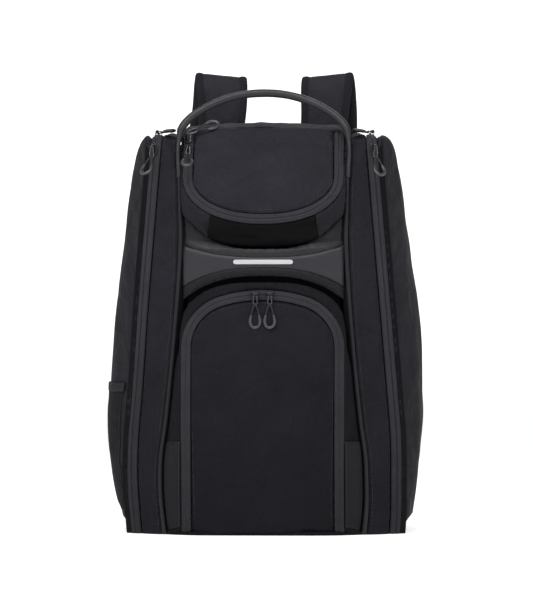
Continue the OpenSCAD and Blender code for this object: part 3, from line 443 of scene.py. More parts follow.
MAT = {
    "body": cloth_material("m_polyester", (42, 41, 47), thread=0.62),
    "lid": cloth_material("m_lid_polyester", (47, 46, 53), thread=0.62, crease=0.7, mottle=0.26, grain=0.4),
    # the bottom-shade factors in these entries paint shade low on the bag; they are not a property of the cloth
    "gusset": cloth_material("m_gusset_polyester", (40, 39, 46), thread=0.62, crease=0.7, mottle=0.26, grain=0.4, painted_bottom_shade=0.66),
    "flap": cloth_material("m_flap_polyester", (36, 35, 42), thread=0.62, crease=0.7, mottle=0.26, grain=0.4, painted_bottom_shade=0.62),
    # painted shade: this polyester is made darker than the other panels to stand in for the shade the frame sits in
    # under the band
    "frame": cloth_material("m_frame_polyester_painted_shade", (28, 27, 32), thread=0.62, crease=0.7, mottle=0.26, grain=0.4, painted_bottom_shade=0.72),
    "side": cloth_material("m_side_polyester", (43, 42, 48), thread=0.62, crease=0.7, mottle=0.26, grain=0.4, painted_bottom_shade=0.82),
    "black": cloth_material("m_black_polyester", (18, 17, 21), thread=0.7, sheen=0),
    "dark": cloth_material("m_pouch_black", (8, 8, 10), thread=0.6, sheen=0, rough=0.7),
    "coated": cloth_material("m_coated_fabric", (55, 54, 60), rough=0.5, sheen=0, thread=0.9, weave=0.1, mottle=0.08, grain=0.1, spec=0.25, bump=0.12, coat=0.05),
    "trim_up": cloth_material("m_coated_trim_upper", (46, 45, 50), rough=0.5, sheen=0, thread=0.9, weave=0.12, mottle=0.08, grain=0.12, spec=0.25, bump=0.15),
    "trim": cloth_material("m_coated_trim", (29, 28, 33), rough=0.55, sheen=0, thread=0.9, weave=0.12, mottle=0.08, grain=0.12, spec=0.2, bump=0.15),
    "patch": cloth_material("m_wear_patch", (37, 36, 41), rough=0.62, painted_bottom_shade=0.7, sheen=0, thread=0.9, weave=0.12, mottle=0.08, grain=0.1, spec=0.12, bump=0.15),
    "tape": cloth_material("m_zip_tape", (62, 61, 67), thread=0.5, rib=("u", 0.8), weave=0.5, rough=0.75, painted_bottom_shade=0.72),
    "coil": hard_material("m_zip_coil", (36, 35, 40), 0.42, spec=0.5, scale=900),
    "binding": cloth_material("m_binding", (40, 39, 45), thread=0.5, rib=("u", 0.7), weave=0.5),
    "piping": cloth_material("m_piping", (34, 33, 38), thread=0.5, rough=0.62, sheen=0.0, spec=0.25),
    "handle": cloth_material("m_handle", (41, 40, 45), thread=0.55, rough=0.48, spec=0.4, sheen=0.0),
    "strap": cloth_material("m_strap_face", (51, 50, 56), thread=0.6, crease=0.5, rough=0.68, sheen=0.0),
    "mesh": mesh_material("m_spacer_mesh", (30, 30, 34)),
    "stretch": mesh_material("m_stretch_mesh", (32, 32, 36), cell=1.6),
    "elastic": cloth_material("m_elastic", (46, 45, 51), thread=0.8, rib=("v", 0.6), weave=0.7, rough=0.8),
    "webbing": cloth_material("m_webbing", (34, 33, 38), thread=1.1, weave=0.9, rough=0.72, bump=0.8),
    "lining": cloth_material("m_lining", (14, 13, 16), thread=0.35, rough=0.6, sheen=0, spec=0.05),
    "reflect": cloth_material("m_reflective", (232, 231, 236), rough=0.42, sheen=0.0, thread=0.4, weave=0.12, mottle=0.03, grain=0.05, spec=0.6, bump=0.2),
    "stitch": cloth_material("m_thread", (58, 57, 63), thread=0.3, weave=0.3, rough=0.6, sheen=0.2),
    "metal": hard_material("m_gunmetal", (48, 48, 52), 0.34, metal=0.8, scale=700),
    "bail": hard_material("m_bail_metal", (92, 91, 96), 0.3, metal=0.9, scale=700),
    "cord": cloth_material("m_pull_cord", (42, 41, 45), thread=0.5, weave=0.6, rough=0.6, spec=0.4),
    "tip": hard_material("m_pull_tip", (50, 49, 53), 0.36, spec=0.6, scale=500),
    "plastic": hard_material("m_black_acetal", (26, 26, 28), 0.42, spec=0.5, scale=600),
}

def put(D, name, mat, body, rep=(), sharp=False):
    ob = make_object(name, D[0], D[1], D[2] if len(D) > 2 else None, not sharp)
    ob.data.materials.append(MAT[mat])
    if body:
        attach(ob, body)
    if rep:
        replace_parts(ob, *rep)
    return ob

def add_bevel(ob, w, seg=2):
    m = ob.modifiers.new("bevel", "BEVEL")
    m.width = w*S
    m.segments = seg
    m.limit_method = "ANGLE"

# ------------------------------------------------------------------ grids
def dense(A, k=6):
    """Catmull-Rom through rows of A, k steps to each"""
    A = np.asarray(A, float)
    Q = np.concatenate([[2*A[0] - A[1]], A, [2*A[-1] - A[-2]]])
    out = []
    for i in range(len(A) - 1):
        p0, p1, p2, p3 = Q[i], Q[i+1], Q[i+2], Q[i+3]
        for u in np.linspace(0, 1, k, endpoint=False):
            out.append(0.5*((2*p1) + (p2 - p0)*u + (2*p0 - 5*p1 + 4*p2 - p3)*u*u + (3*p1 - p0 - 3*p2 + p3)*u**3))
    out.append(A[-1])
    return np.array(out)

def edge_field(P):
    du = np.linalg.norm(np.diff(P, axis=1), axis=2)
    dv = np.linalg.norm(np.diff(P, axis=0), axis=2)
    cu = np.concatenate([np.zeros((P.shape[0], 1)), np.cumsum(du, axis=1)], axis=1)
    cw = np.concatenate([np.zeros((1, P.shape[1])), np.cumsum(dv, axis=0)], axis=0)
    return {"L": cu, "R": cu[:, -1:] - cu, "T": cw, "B": cw[-1:] - cw}, cu, cw

def dress(P, out, wr=0.6, scale=70, pucker=0.3, pitch=9, roll=1.3, seed=1, sides="LRTB", fade=8, stretch=(1, 1, 1), skip=""):
    """sewn-cloth relief on a grid: slow waves, puckers beside the seams, edges turned in"""
    N = normals(P)*out
    D, cu, cw = edge_field(P)
    h = 1.45*wr*(waves(P, scale, seed, stretch=stretch) + 0.35*waves(P, scale*0.35, seed + 1, stretch=stretch))
    keep = np.ones(P.shape[:2])
    for k in "LRTB":
        if k in skip: continue
        keep = np.minimum(keep, smooth(D[k]/14))
    h = h*keep
    for k in sides:
        s = cw if k in "LR" else cu
        ph = 1.6*waves(P, pitch*4, seed + 7)
        h = h + pucker*np.exp(-D[k]/fade)*np.sin(2*math.pi*s/pitch + ph) - roll*np.exp(-(D[k]/2.4)**2)
    return P + N*h[..., None]

def line_at(P, side, off, out):
    N = normals(P)*out
    D, cu, cw = edge_field(P)
    Q, M = [], []
    if side in "LR":
        for i in range(P.shape[0]):
            s = cu[i]; t = off if side == "L" else s[-1] - off
            Q.append([np.interp(t, s, P[i, :, k]) for k in range(3)]); M.append([np.interp(t, s, N[i, :, k]) for k in range(3)])
    else:
        for j in range(P.shape[1]):
            s = cw[:, j]; t = off if side == "T" else s[-1] - off
            Q.append([np.interp(t, s, P[:, j, k]) for k in range(3)]); M.append([np.interp(t, s, N[:, j, k]) for k in range(3)])
    return np.array(Q), unit(np.array(M))

STITCH = {}
def sew(body, Q, N, mirror=False, **kw):
    d = stitch_data(Q, N, **kw)
    if d is None: return
    STITCH.setdefault(body, []).append(d)
    if mirror: STITCH[body].append(mirror_any(d))

def flip_x(Q):
    Q = np.array(Q, float); Q[..., 0] *= -1
    return Q

# ------------------------------------------------------------------ cloth solver on open grids
SIM = {}
def sim_queue(key, P, out, cap, pressure=3.0, shrink=-0.015, pin="LRTB", band=1):
    SIM[key] = dict(P=P, out=out, cap=cap, pressure=pressure, shrink=shrink, pin=pin, band=band)

def sim_run(frames_n=20):
    res = {k: c["P"] for k, c in SIM.items()}
    for k, c in SIM.items():
        P = c["P"]; n, m = P.shape[:2]
        I = np.arange(n*m).reshape(n, m)
        F = np.stack([I[:-1, :-1].ravel(), I[1:, :-1].ravel(), I[1:, 1:].ravel(), I[:-1, 1:].ravel()], 1)
        if c["out"] < 0: F = F[:, ::-1]
        ob = make_object("sim_" + k, P.reshape(-1, 3), F)
        w = np.zeros((n, m)); b = c["band"]
        if "T" in c["pin"]: w[:b] = 1
        if "B" in c["pin"]: w[-b:] = 1
        if "L" in c["pin"]: w[:, :b] = 1
        if "R" in c["pin"]: w[:, -b:] = 1
        vg = ob.vertex_groups.new(name="pin")
        vg.add([int(i) for i in np.nonzero(w.ravel())[0]], 1.0, "REPLACE")
        mod = ob.modifiers.new("cloth", "CLOTH"); s = mod.settings
        s.quality = 6; s.mass = 0.3; s.tension_stiffness = s.compression_stiffness = 15; s.shear_stiffness = 5; s.bending_stiffness = 0.6
        s.vertex_group_mass = "pin"; s.shrink_min = c["shrink"]
        s.use_pressure = True; s.uniform_pressure_force = c["pressure"]; s.effector_weights.gravity = 0
        mod.collision_settings.use_collision = False
        mod.point_cache.frame_start, mod.point_cache.frame_end = 1, 60
        c["ob"] = ob
    for f in range(1, frames_n + 1):
        scene.frame_set(f)
    dg = bpy.context.evaluated_depsgraph_get()
    for k, c in SIM.items():
        ob = c["ob"]; ev = ob.evaluated_get(dg); me = ev.to_mesh()
        B = np.empty(len(me.vertices)*3); me.vertices.foreach_get("co", B); ev.to_mesh_clear()
        B = B.reshape(c["P"].shape)*1000
        D = B - c["P"]; Nn = normals(c["P"]); D = Nn*np.sum(D*Nn, axis=2, keepdims=True)
        ii, jj = np.meshgrid(np.arange(D.shape[0]), np.arange(D.shape[1]), indexing="ij")
        e = np.minimum(np.minimum(ii, D.shape[0] - 1 - ii), np.minimum(jj, D.shape[1] - 1 - jj))
        D = D*smooth(e/6)[..., None]; L = np.linalg.norm(D, axis=2, keepdims=True)
        D = D*(c["cap"]*np.tanh(L/c["cap"])/np.maximum(L, 1e-9)); D[~np.isfinite(D)] = 0
        res[k] = c["P"] + D
        print("cloth", k, "moved %.1f mm at most, %.1f mm in the mean" % (np.linalg.norm(D, axis=2).max(), np.linalg.norm(D, axis=2).mean()))
        me = ob.data; bpy.data.objects.remove(ob); bpy.data.meshes.remove(me)
    scene.frame_set(1)
    return res

# ------------------------------------------------------------------ racket compartments
yc = (zip_front_y + zip_rear_y)/2
mdx, mdn = tape_w - 0.2, -5.5
rd, ztd = zip_corner_r + mdn, zip_top_z + mdn
def door_half(z):
    z = np.asarray(z, float)
    c = rd - np.sqrt(np.maximum(0, rd*rd - np.maximum(0, z - ztd + rd)**2))
    return (zip_rear_y - zip_front_y)/2 + mdn - 0.5 - np.where(z > ztd - rd, c, 0)
def door_x(u, z):
    z = np.asarray(z, float)
    e = xz(z) + mdx + 0.5
    f = np.where(z < 24, np.maximum(0, (z - 6)/18), 1.0)
    m = 150 + (e - 150)*f**0.4
    b = np.maximum(0, 1 - np.abs(u)**2.3)**0.72
    return m + np.maximum(cv(z, W_T) - e, 0.5)*b*np.where(z < 24, f**0.3, 1)
zs = np.concatenate([[6, 7, 8.5, 11, 14, 18, 24], np.linspace(30, 452, 92), [456, 460, 464, 468, 471, 474, 477, 479.5, 481.5, 483.2, 484.6, 485.5]])
us = np.sin(np.linspace(-math.pi/2, math.pi/2, 54))
us = np.sign(us)*np.abs(us)**0.86
UU, ZZ = np.meshgrid(us, zs)
DOOR = np.stack([door_x(UU, ZZ), yc + UU*door_half(ZZ), ZZ], -1)
sim_queue("door", DOOR, -1, 3.2, 2.0, -0.012)

def loop_rows(step=4.0):
    r = []
    for z in np.arange(7, 468, step): r.append([zip_front_y, z, -1, 0])
    for a in np.arange(0, 90, 5.0):
        t = math.radians(a); r.append([zip_front_y + zip_corner_r*(1 - math.cos(t)), zip_top_z - zip_corner_r*(1 - math.sin(t)), -math.cos(t), math.sin(t)])
    for y in np.linspace(zip_front_y + zip_corner_r, zip_rear_y - zip_corner_r, 38): r.append([y, zip_top_z, 0, 1])
    for a in np.arange(85, -1, -5.0):
        t = math.radians(a); r.append([zip_rear_y - zip_corner_r*(1 - math.cos(t)), zip_top_z - zip_corner_r*(1 - math.sin(t)), math.cos(t), math.sin(t)])
    for z in np.arange(468 - step, 6, -step): r.append([zip_rear_y, z, 1, 0])
    return np.array(r)
LOOP = loop_rows()
def zp(q, dx, dn):
    q = np.asarray(q, float); z = q[..., 1]
    return np.stack([xz(z) + dx, q[..., 0] + dn*q[..., 2], z + dn*q[..., 3]], -1)

def tape_grid(centre_fn, c0, c1, c2, n=15, lift=None):
    """half a zip tape from its sewn edge (c=0) to the coil (c=1)"""
    c = np.linspace(0, 1, n)
    a, b, d = c0[:, None], c1[:, None], c2[:, None]
    cc = c[None, :, None]
    P = a*(1 - cc)*(1 - 2*cc) + b*4*cc*(1 - cc) + d*cc*(2*cc - 1)
    N = normals(P)
    if np.sum(N[..., 0]) == 0: pass
    return P, N, c

def half_tape(c0, c1, c2, out, coil_at_end=True, bead=0.75, seed=3, n=17):
    c0, c1, c2 = map(np.asarray, (c0, c1, c2))
    P, N, c = tape_grid(None, c0, c1, c2, n)
    N = N*out
    w = np.linalg.norm(c2 - c0, axis=1).mean()
    d = (1 - c)*w if coil_at_end else c*w          # distance from the middle of the zip
    e = w - d                                       # distance from the sewn edge
    h = bead*np.exp(-((d - 1.9)/1.15)**2) - 0.5*np.exp(-(d/0.5)**2) - 0.7*np.exp(-(e/0.9)**2) + 0.12*np.exp(-((e - 1.8)/0.5)**2)
    H = np.broadcast_to(h, P.shape[:2]) + 0.1*waves(P, 34, seed)
    return P + N*H[..., None]

def teeth(path, across, nrm, pitch=1.7, w=2.3, l=0.95, t=0.8, sink=0.55):
    """moulded coil turns seen in the gap between the two tapes"""
    path, across, nrm = map(lambda a: np.asarray(a, float), (path, across, nrm))
    d = np.concatenate([[0], np.cumsum(np.linalg.norm(np.diff(path, axis=0), axis=1))])
    s = np.arange(pitch, d[-1] - pitch, pitch)
    ev = lambda A: np.stack([np.interp(s, d, A[:, k]) for k in range(3)], 1)
    C, A, N = ev(path), unit(ev(across)), unit(ev(nrm))
    T = np.cross(A, N)
    C = C - N*sink
    rows = []
    for a, h, q in ((-0.5, -0.5, 0.8), (-0.36, 0.3, 1.0), (0.0, 0.5, 1.0), (0.36, 0.3, 1.0), (0.5, -0.5, 0.8)):
        for k in (-0.5, 0.5):
            rows.append(C + A*(a*w) + N*(h*t) + T*(k*l*q))
    V = np.stack(rows, 1); m = V.shape[1]
    base = []
    for i in range(4):
        base.append([2*i, 2*i + 1, 2*i + 3, 2*i + 2])
    base += [[8, 9, 1, 0]]
    F = [[int(x + g*m) for x in f] for g in range(len(s)) for f in base]
    F += [[int(x + g*m) for x in (0, 2, 4, 6, 8)] for g in range(len(s))] + [[int(x + g*m) for x in (9, 7, 5, 3, 1)] for g in range(len(s))]
    return V.reshape(-1, 3), F, np.zeros((V.shape[0]*m, 2))

FT = [zp(LOOP, -tape_w - 1.2, 2), zp(LOOP, (-tape_w - 1.2)/2, 1.3), zp(LOOP, -0.35, 0.1)]
MT = [zp(LOOP, mdx, mdn), zp(LOOP, mdx/2 + 0.3, mdn/2 + 0.4), zp(LOOP, 0.55, -0.1)]
f_tape = half_tape(*FT, out=-1)
m_tape = half_tape(*MT, out=1, seed=5)
# ------------------------------------------------------------------ gussets
front_z = [7, 24, 45, 70, 100, 130, 180, 230, 280, 330, 380, 420, 450]
ca = [36, 72]
cn1 = [[zip_front_y + zip_corner_r*(1 - math.cos(math.radians(a))), zip_top_z - zip_corner_r*(1 - math.sin(math.radians(a))), -math.cos(math.radians(a)), math.sin(math.radians(a))] for a in (18, 36, 54, 72)]
fdx = -tape_w - 1.2 - 0.3
A = [[float(xj(z)) + 3.0, float(yj(z)), z] for z in front_z] + [[107.4, -101.5, 466], [107.2, -92, 481], [107, -82, 489.5]]
B = [zp([zip_front_y, z, -1, 0], fdx, 2) for z in front_z] + [zp([zip_front_y, 468, -1, 0], fdx, 2), zp(cn1[1], fdx, 2), zp(cn1[3], fdx, 2)]
Ad, Bd = dense(A, 9), dense(B, 9)
c = np.linspace(0, 1, 22)
FG = Ad[:, None]*(1 - c[None, :, None]) + Bd[:, None]*c[None, :, None]
FG[..., 1] -= 2.5*np.sin(math.pi*c)[None, :]
FGd = dress(FG, -1, wr=1.7, scale=55, pucker=0.45, pitch=13, roll=1.5, seed=11, sides="LR", stretch=(1, 1, 1.6))
A = [[107, p[0], p[1]] for p in [[-80, 489.2], [-50, 494.8], [0, 497.3], [50, 497], [86, 494]]]
B = [zp([y, zip_top_z, 0, 1], fdx, 2) for y in [-72.5, -40, 0, 40, 75]]
Ad, Bd = dense(A, 14), dense(B, 14)
TG = Ad[:, None]*(1 - c[None, :, None]) + Bd[:, None]*c[None, :, None]
TG[..., 2] += 1.5*np.sin(math.pi*c)[None, :]
TGd = dress(TG, -1, wr=1.2, scale=60, pucker=0.4, pitch=12, roll=1.5, seed=13, sides="LR", skip="TB")
def cloth(P, out, t, name, mat, body, rep=(), mirror=False, both=False):
    D = grid_data(P, -out*t)
    if mirror: D = mirror_data(D)
    if both: D = join_data(D, mirror_data(D))
    return put(D, name, mat, body, rep)

# ------------------------------------------------------------------ top pocket
def lerp3(A, t): return np.stack([cv(t, A, 1), cv(t, A, 2)], -1)
def ln(t):
    t = np.asarray(t, float)
    d = lerp3(L_T, t + 1) - lerp3(L_T, t - 1)
    d = unit(d)
    return np.stack([np.zeros_like(t), -d[..., 1], d[..., 0]], -1)
def lp(x, t, k=0.0):
    x, t = np.broadcast_arrays(np.asarray(x, float), np.asarray(t, float))
    f = np.asarray(k, float) - 6*(x/89)**2
    return np.stack([x, cv(t, L_T, 1), cv(t, L_T, 2)], -1) + ln(t)*np.broadcast_to(f, x.shape)[..., None]
def lid_edge_t(x): return 49*(1 - np.maximum(0, 1 - (np.abs(x)/lid_half)**2.2)**(1/2.2))
lid_u = [0, 0.2, 0.38, 0.54, 0.68, 0.8, 0.89, 0.955, 0.99]
side_t = [49, 62, 75, 88, 101, lid_end]
RIM = np.array([[u*lid_half, float(lid_edge_t(u*lid_half))] for u in lid_u] + [[lid_half, t] for t in side_t])
RD = dense(RIM, 8)
RN = unit(np.gradient(RD, axis=0)); RN = np.stack([RN[:, 1], -RN[:, 0]], 1); RN[0] = [0, -1]
def rim(o, k=0.0, D=RD, N=RN):
    p = D + o*N
    return lp(p[:, 0], p[:, 1], k)
def whole(right):
    """mirror the right half of a run of points and join the two at the middle"""
    L = right[::-1].copy(); L[:, 0] *= -1
    return np.concatenate([L[:-1], right])
lid_m = half_tape(whole(rim(0.2, 0.6)), whole(rim(3.0, 0.7)), whole(rim(5.95, 0.6)), out=-1, seed=31, bead=0.8)
lid_f = half_tape(whole(rim(12.2, 0.6)), whole(rim(9.2, 0.7)), whole(rim(6.05, 0.6)), out=1, seed=32, bead=0.8)

xu = np.sin(np.linspace(-math.pi/2, math.pi/2, 60)); xu = np.sign(xu)*np.abs(xu)**0.9
vv = np.concatenate([[0, 0.006, 0.015, 0.03], np.linspace(0.05, 1, 44)])
XX = xu[None, :]*(lid_half - 0.6) + 0*vv[:, None]
T0 = lid_edge_t(XX) + 0.6
TT = T0 + vv[:, None]*(lid_end + 1.5 - T0)
LID = lp(XX, TT, 0.6 + 1.2*np.sin(math.pi*np.clip(vv, 0, 1))[:, None]*(1 - xu[None, :]**2))
sim_queue("lid", LID, -1, 2.6, 2.5, -0.010)

def wout(i):
    r = RIM[i]
    if i < 9: return [r[0]*1.15, -44 + 0.35*r[1] + 32*(r[0]/lid_half)**3]
    return [101.2, max(r[1] - (28 if i == 9 else 12 if i == 10 else 0), 20)]
WO = dense([wout(i) for i in range(len(RIM))], 8)
WI = RD + 12.4*RN
cw_ = np.linspace(0, 1, 26)
WALL = lp(WI[:, None, 0]*(1 - cw_) + WO[:, None, 0]*cw_, WI[:, None, 1]*(1 - cw_) + WO[:, None, 1]*cw_, 0.3)
kd = 4*8
def mirror_grid(P): 
    Q = P[::-1].copy(); Q[..., 0] *= -1
    return Q
UNDER = np.concatenate([mirror_grid(WALL[:kd + 1])[:-1], WALL[:kd + 1]])
SURR = WALL[kd:]
tv = np.concatenate([[lid_end + 1.6, lid_end + 2.4], np.linspace(lid_end + 4, 319, 56)])
yu = np.linspace(-1, 1, 60)
YOKE = lp(yu[None, :]*106, tv[:, None], 0.3)
sim_queue("yoke", YOKE, -1, 2.2, 1.5, -0.008)

# ------------------------------------------------------------------ band between the pockets
def bow(x, mid, side, p=2.6): return mid + (side - mid)*np.minimum(1, np.abs(x)/100)**p
def by(x, z): return -117.5 + 5*(x/100)**2 - 3.5*np.sin(np.clip((z - 300)/55*180, 0, 180)*math.pi/180) + np.minimum(4.5, 0.4*np.maximum(0, z - 352))
def bow_grid(z0, s0, z1, s1, half, dy=0.0, rows=14, pa=2.6, pb=2.6, n=90):
    x = np.linspace(-half, half, n)[None, :]; r = np.linspace(0, 1, rows)[:, None]
    z = bow(x, z0, s0, pa)*(1 - r) + bow(x, z1, s1, pb)*r
    x = x + 0*r
    return np.stack([x, by(x, z) + dy, z], -1)
PANEL = bow_grid(329, 304, 341.7, 358.3, 99.3, rows=22)
UTRIM = bow_grid(341.9, 358.4, 352.2, 398, 98.8, pb=3)
LTRIM = bow_grid(318, 288.5, 328.7, 303.6, 99.6, dy=-0.3)

# ------------------------------------------------------------------ main pocket
def fy(x, z): return cv(z, F_T) + 7*(np.abs(x)/88)**2.4
arc_a = math.radians(17)
corner_r = (flap_half - flap_arc_r*math.sin(arc_a))/(1 - math.sin(arc_a))
corner_z = flap_top_z - flap_arc_r + (flap_arc_r - corner_r)*math.cos(arc_a)
FR = [[flap_arc_r*math.sin(a), flap_top_z - flap_arc_r*(1 - math.cos(a)), math.sin(a), math.cos(a)] for a in np.radians(np.arange(0, 17, 1.0))]
FR += [[flap_half - corner_r*(1 - math.sin(a)), corner_z + corner_r*math.cos(a), math.sin(a), math.cos(a)] for a in np.linspace(arc_a, math.pi/2, 30)]
FR += [[flap_half, z, 1, 0] for z in np.arange(corner_z - 4, 7.9, -4)] + [[flap_half, 8, 1, 0]]
FR = np.array(FR)
def frim(o, k=0.0, D=FR):
    x, z = D[:, 0] + o*D[:, 2], D[:, 1] + o*D[:, 3]
    return np.stack([x, fy(x, z) - k, z], -1)
flap_m = half_tape(whole(frim(0.2, 0.8)), whole(frim(3.0, 0.9)), whole(frim(5.95, 0.8)), out=1, seed=41, bead=0.8)
flap_f = half_tape(whole(frim(12.2, 0.8)), whole(frim(9.2, 0.9)), whole(frim(6.05, 0.8)), out=-1, seed=42, bead=0.8)
def ztop(x):
    a = np.abs(x); s = flap_arc_r*math.sin(arc_a); xc = flap_half - corner_r
    return np.where(a <= s, flap_top_z - flap_arc_r + np.sqrt(flap_arc_r**2 - np.minimum(a, s)**2), corner_z + np.sqrt(np.maximum(0, corner_r**2 - np.maximum(0, a - xc)**2)))
fu = np.sin(np.linspace(-math.pi/2, math.pi/2, 62)); fu = np.sign(fu)*np.abs(fu)**0.9
fv = np.concatenate([[0, 0.004, 0.01, 0.02], np.linspace(0.035, 1, 76)])
FX = fu[None, :]*88*0.994 + 0*fv[:, None]
FZ = (ztop(FX) - 0.6)*(1 - fv[:, None]) + 8*fv[:, None]
FLAP = np.stack([FX, fy(FX, FZ) - 0.4, FZ], -1)
sim_queue("flap", FLAP, 1, 2.8, 2.5, -0.010)
FOUT = [[0, 311.5, -131], [20, 311.3, -131], [39, 310, -130.5], [57, 306, -130], [72, 300, -129], [84, 292, -128], [93, 283, -126.5], [99, 272, -125], [101.5, 260, -124], [103, 247, -122.5], [104, 230, -121.5]]
FC = [[flap_arc_r*math.sin(math.radians(a)), flap_top_z - flap_arc_r*(1 - math.cos(math.radians(a)))] for a in (0, 4, 8, 12.5)]
FC += [[flap_half - corner_r*(1 - math.sin(math.radians(a))), corner_z + corner_r*math.cos(math.radians(a))] for a in np.arange(17, 90.1, 12.17)]
FCn = [[math.sin(math.radians(a)), math.cos(math.radians(a))] for a in (0, 4, 8, 12.5)] + [[math.sin(math.radians(a)), math.cos(math.radians(a))] for a in np.arange(17, 90.1, 12.17)]
FC += [[flap_half, z] for z in (205, 170, 130, 90, 50, 25, 8)]; FCn += [[1, 0]]*7
fo = [[q[0], q[2], q[1]] for q in FOUT] + [[float(xj(q[1])) - 3.0, float(yj(q[1])) - 1, q[1]] for q in FC[len(FOUT):]]
FCd = dense([FC[i] + FCn[i] for i in range(len(FC))], 7); FOd = dense(fo, 7)
FCd[:, 2:] = unit(FCd[:, 2:])
fi = frim(12.6, 0.3, FCd)
cf = np.linspace(0, 1, 16)
FW = fi[:, None]*(1 - cf[None, :, None]) + FOd[:, None]*cf[None, :, None]
FW[..., 1] -= 1.2*np.sin(math.pi*cf)[None, :]
FWALL = np.concatenate([mirror_grid(FW)[:-1], FW])

# ------------------------------------------------------------------ padded back
def pad_grid(w, h, r, t, y0, cx, cz, n=44, m=70):
    a, b = np.linspace(-1, 1, n), np.linspace(-1, 1, m)
    U, Vv = np.meshgrid(a, b)
    ex, ez = r/(w/2), r/(h/2)
    # pull the corners in to round them
    du, dv = np.maximum(0, np.abs(U) - (1 - ex))/ex, np.maximum(0, np.abs(Vv) - (1 - ez))/ez
    q = np.maximum(np.hypot(du, dv), 1e-9); s = np.where((du > 0) & (dv > 0), np.maximum(du, dv)/q, 1)
    X = np.sign(U)*(np.where(du > 0, (1 - ex) + ex*du*s, np.abs(U)))*w/2
    Z = np.sign(Vv)*(np.where(dv > 0, (1 - ez) + ez*dv*s, np.abs(Vv)))*h/2
    e = np.minimum(1 - np.abs(U), (1 - np.abs(Vv))*h/w)*w/2
    H = t*np.minimum(1, 1 - np.maximum(0, 1 - e/14)**2.2)**0.6
    return np.stack([cx + X, y0 + H, cz + Z], -1)
PADS = {"right": pad_grid(92, 330, 24, 10.2, back_y + back_t + 0.3, 63, 262), "lumbar": pad_grid(218, 62, 22, 10.2, back_y + back_t + 0.3, 0, 56, n=90, m=34)}
for k, P in PADS.items(): sim_queue("pad_" + k, P, 1, 3.0, 3.0, -0.02)

R = sim_run()
# ================================================================== pieces
# side panels
DOORr = dress(R["door"], -1, wr=1.0, scale=120, pucker=0.4, pitch=15, roll=1.5, seed=21, stretch=(1, 1, 1.5))
DOORl = dress(R["door"], -1, wr=1.0, scale=120, pucker=0.4, pitch=15, roll=1.5, seed=27, stretch=(1, 1, 1.5))
cloth(DOORr, -1, 2.4, "right_side_cloth", "side", "right_door", ["right_side_panel"])
cloth(DOORl, -1, 2.4, "left_side_cloth", "side", "left_door", ["left_side_panel"], mirror=True)
for s, side, D in ((1, "right", DOORr), (-1, "left", DOORl)):
    for k in "LR":
        Q, N = line_at(D, k, 5.0, -1)
        if s < 0: Q, N = flip_x(Q), flip_x(N)
        sew(side + "_door", Q[3:-3], N[3:-3])
def sub_grid(P, znew, um):
    cols = [j for j in range(len(us)) if abs(us[j]) <= um]
    out = np.stack([np.stack([np.interp(znew, zs, P[:, j, k]) for k in range(3)], -1) for j in cols], 1)
    return out
PK = sub_grid(DOORl, np.concatenate([np.linspace(30, 174, 60), [175, 175.8]]), 0.87)
Nk = normals(PK)*-1
Dk, _, _ = edge_field(PK)
ek = np.minimum(np.minimum(Dk["L"], Dk["R"]), Dk["T"])
PK = PK + Nk*(0.5 + 1.5*smooth(ek/9) + 0.35*np.sin(Dk["T"]/3.1 + 2*waves(PK, 60, 5))*np.exp(-Dk["B"]/14))[..., None]
cloth(PK, -1, 0.8, "left_bottle_pocket_mesh", "stretch", "left_door", ["bottle_pocket"], mirror=True)
PB = sub_grid(DOORl, np.linspace(175.2, 186.5, 12), 0.88)
Nb = normals(PB)*-1
Db, cub, _ = edge_field(PB)
PB = PB + Nb*(2.3 + 0.7*np.sin(math.pi*np.clip(Db["T"]/11.3, 0, 1))**0.5 + 0.3*np.sin(2*math.pi*cub/5.2 + waves(PB, 40, 8))*np.sin(math.pi*np.clip(Db["T"]/11.3, 0, 1)))[..., None]
cloth(PB, -1, 1.6, "left_bottle_pocket_elastic", "elastic", "left_door", ["bottle_pocket_binding"], mirror=True)
for k, o in (("T", 2.0), ("B", 2.0)):
    Q, N = line_at(PB, k, o, -1); sew("left_door", flip_x(Q), flip_x(N))
for k in "LR":
    Q, N = line_at(PK, k, 3.2, -1); sew("left_door", flip_x(Q), flip_x(N))

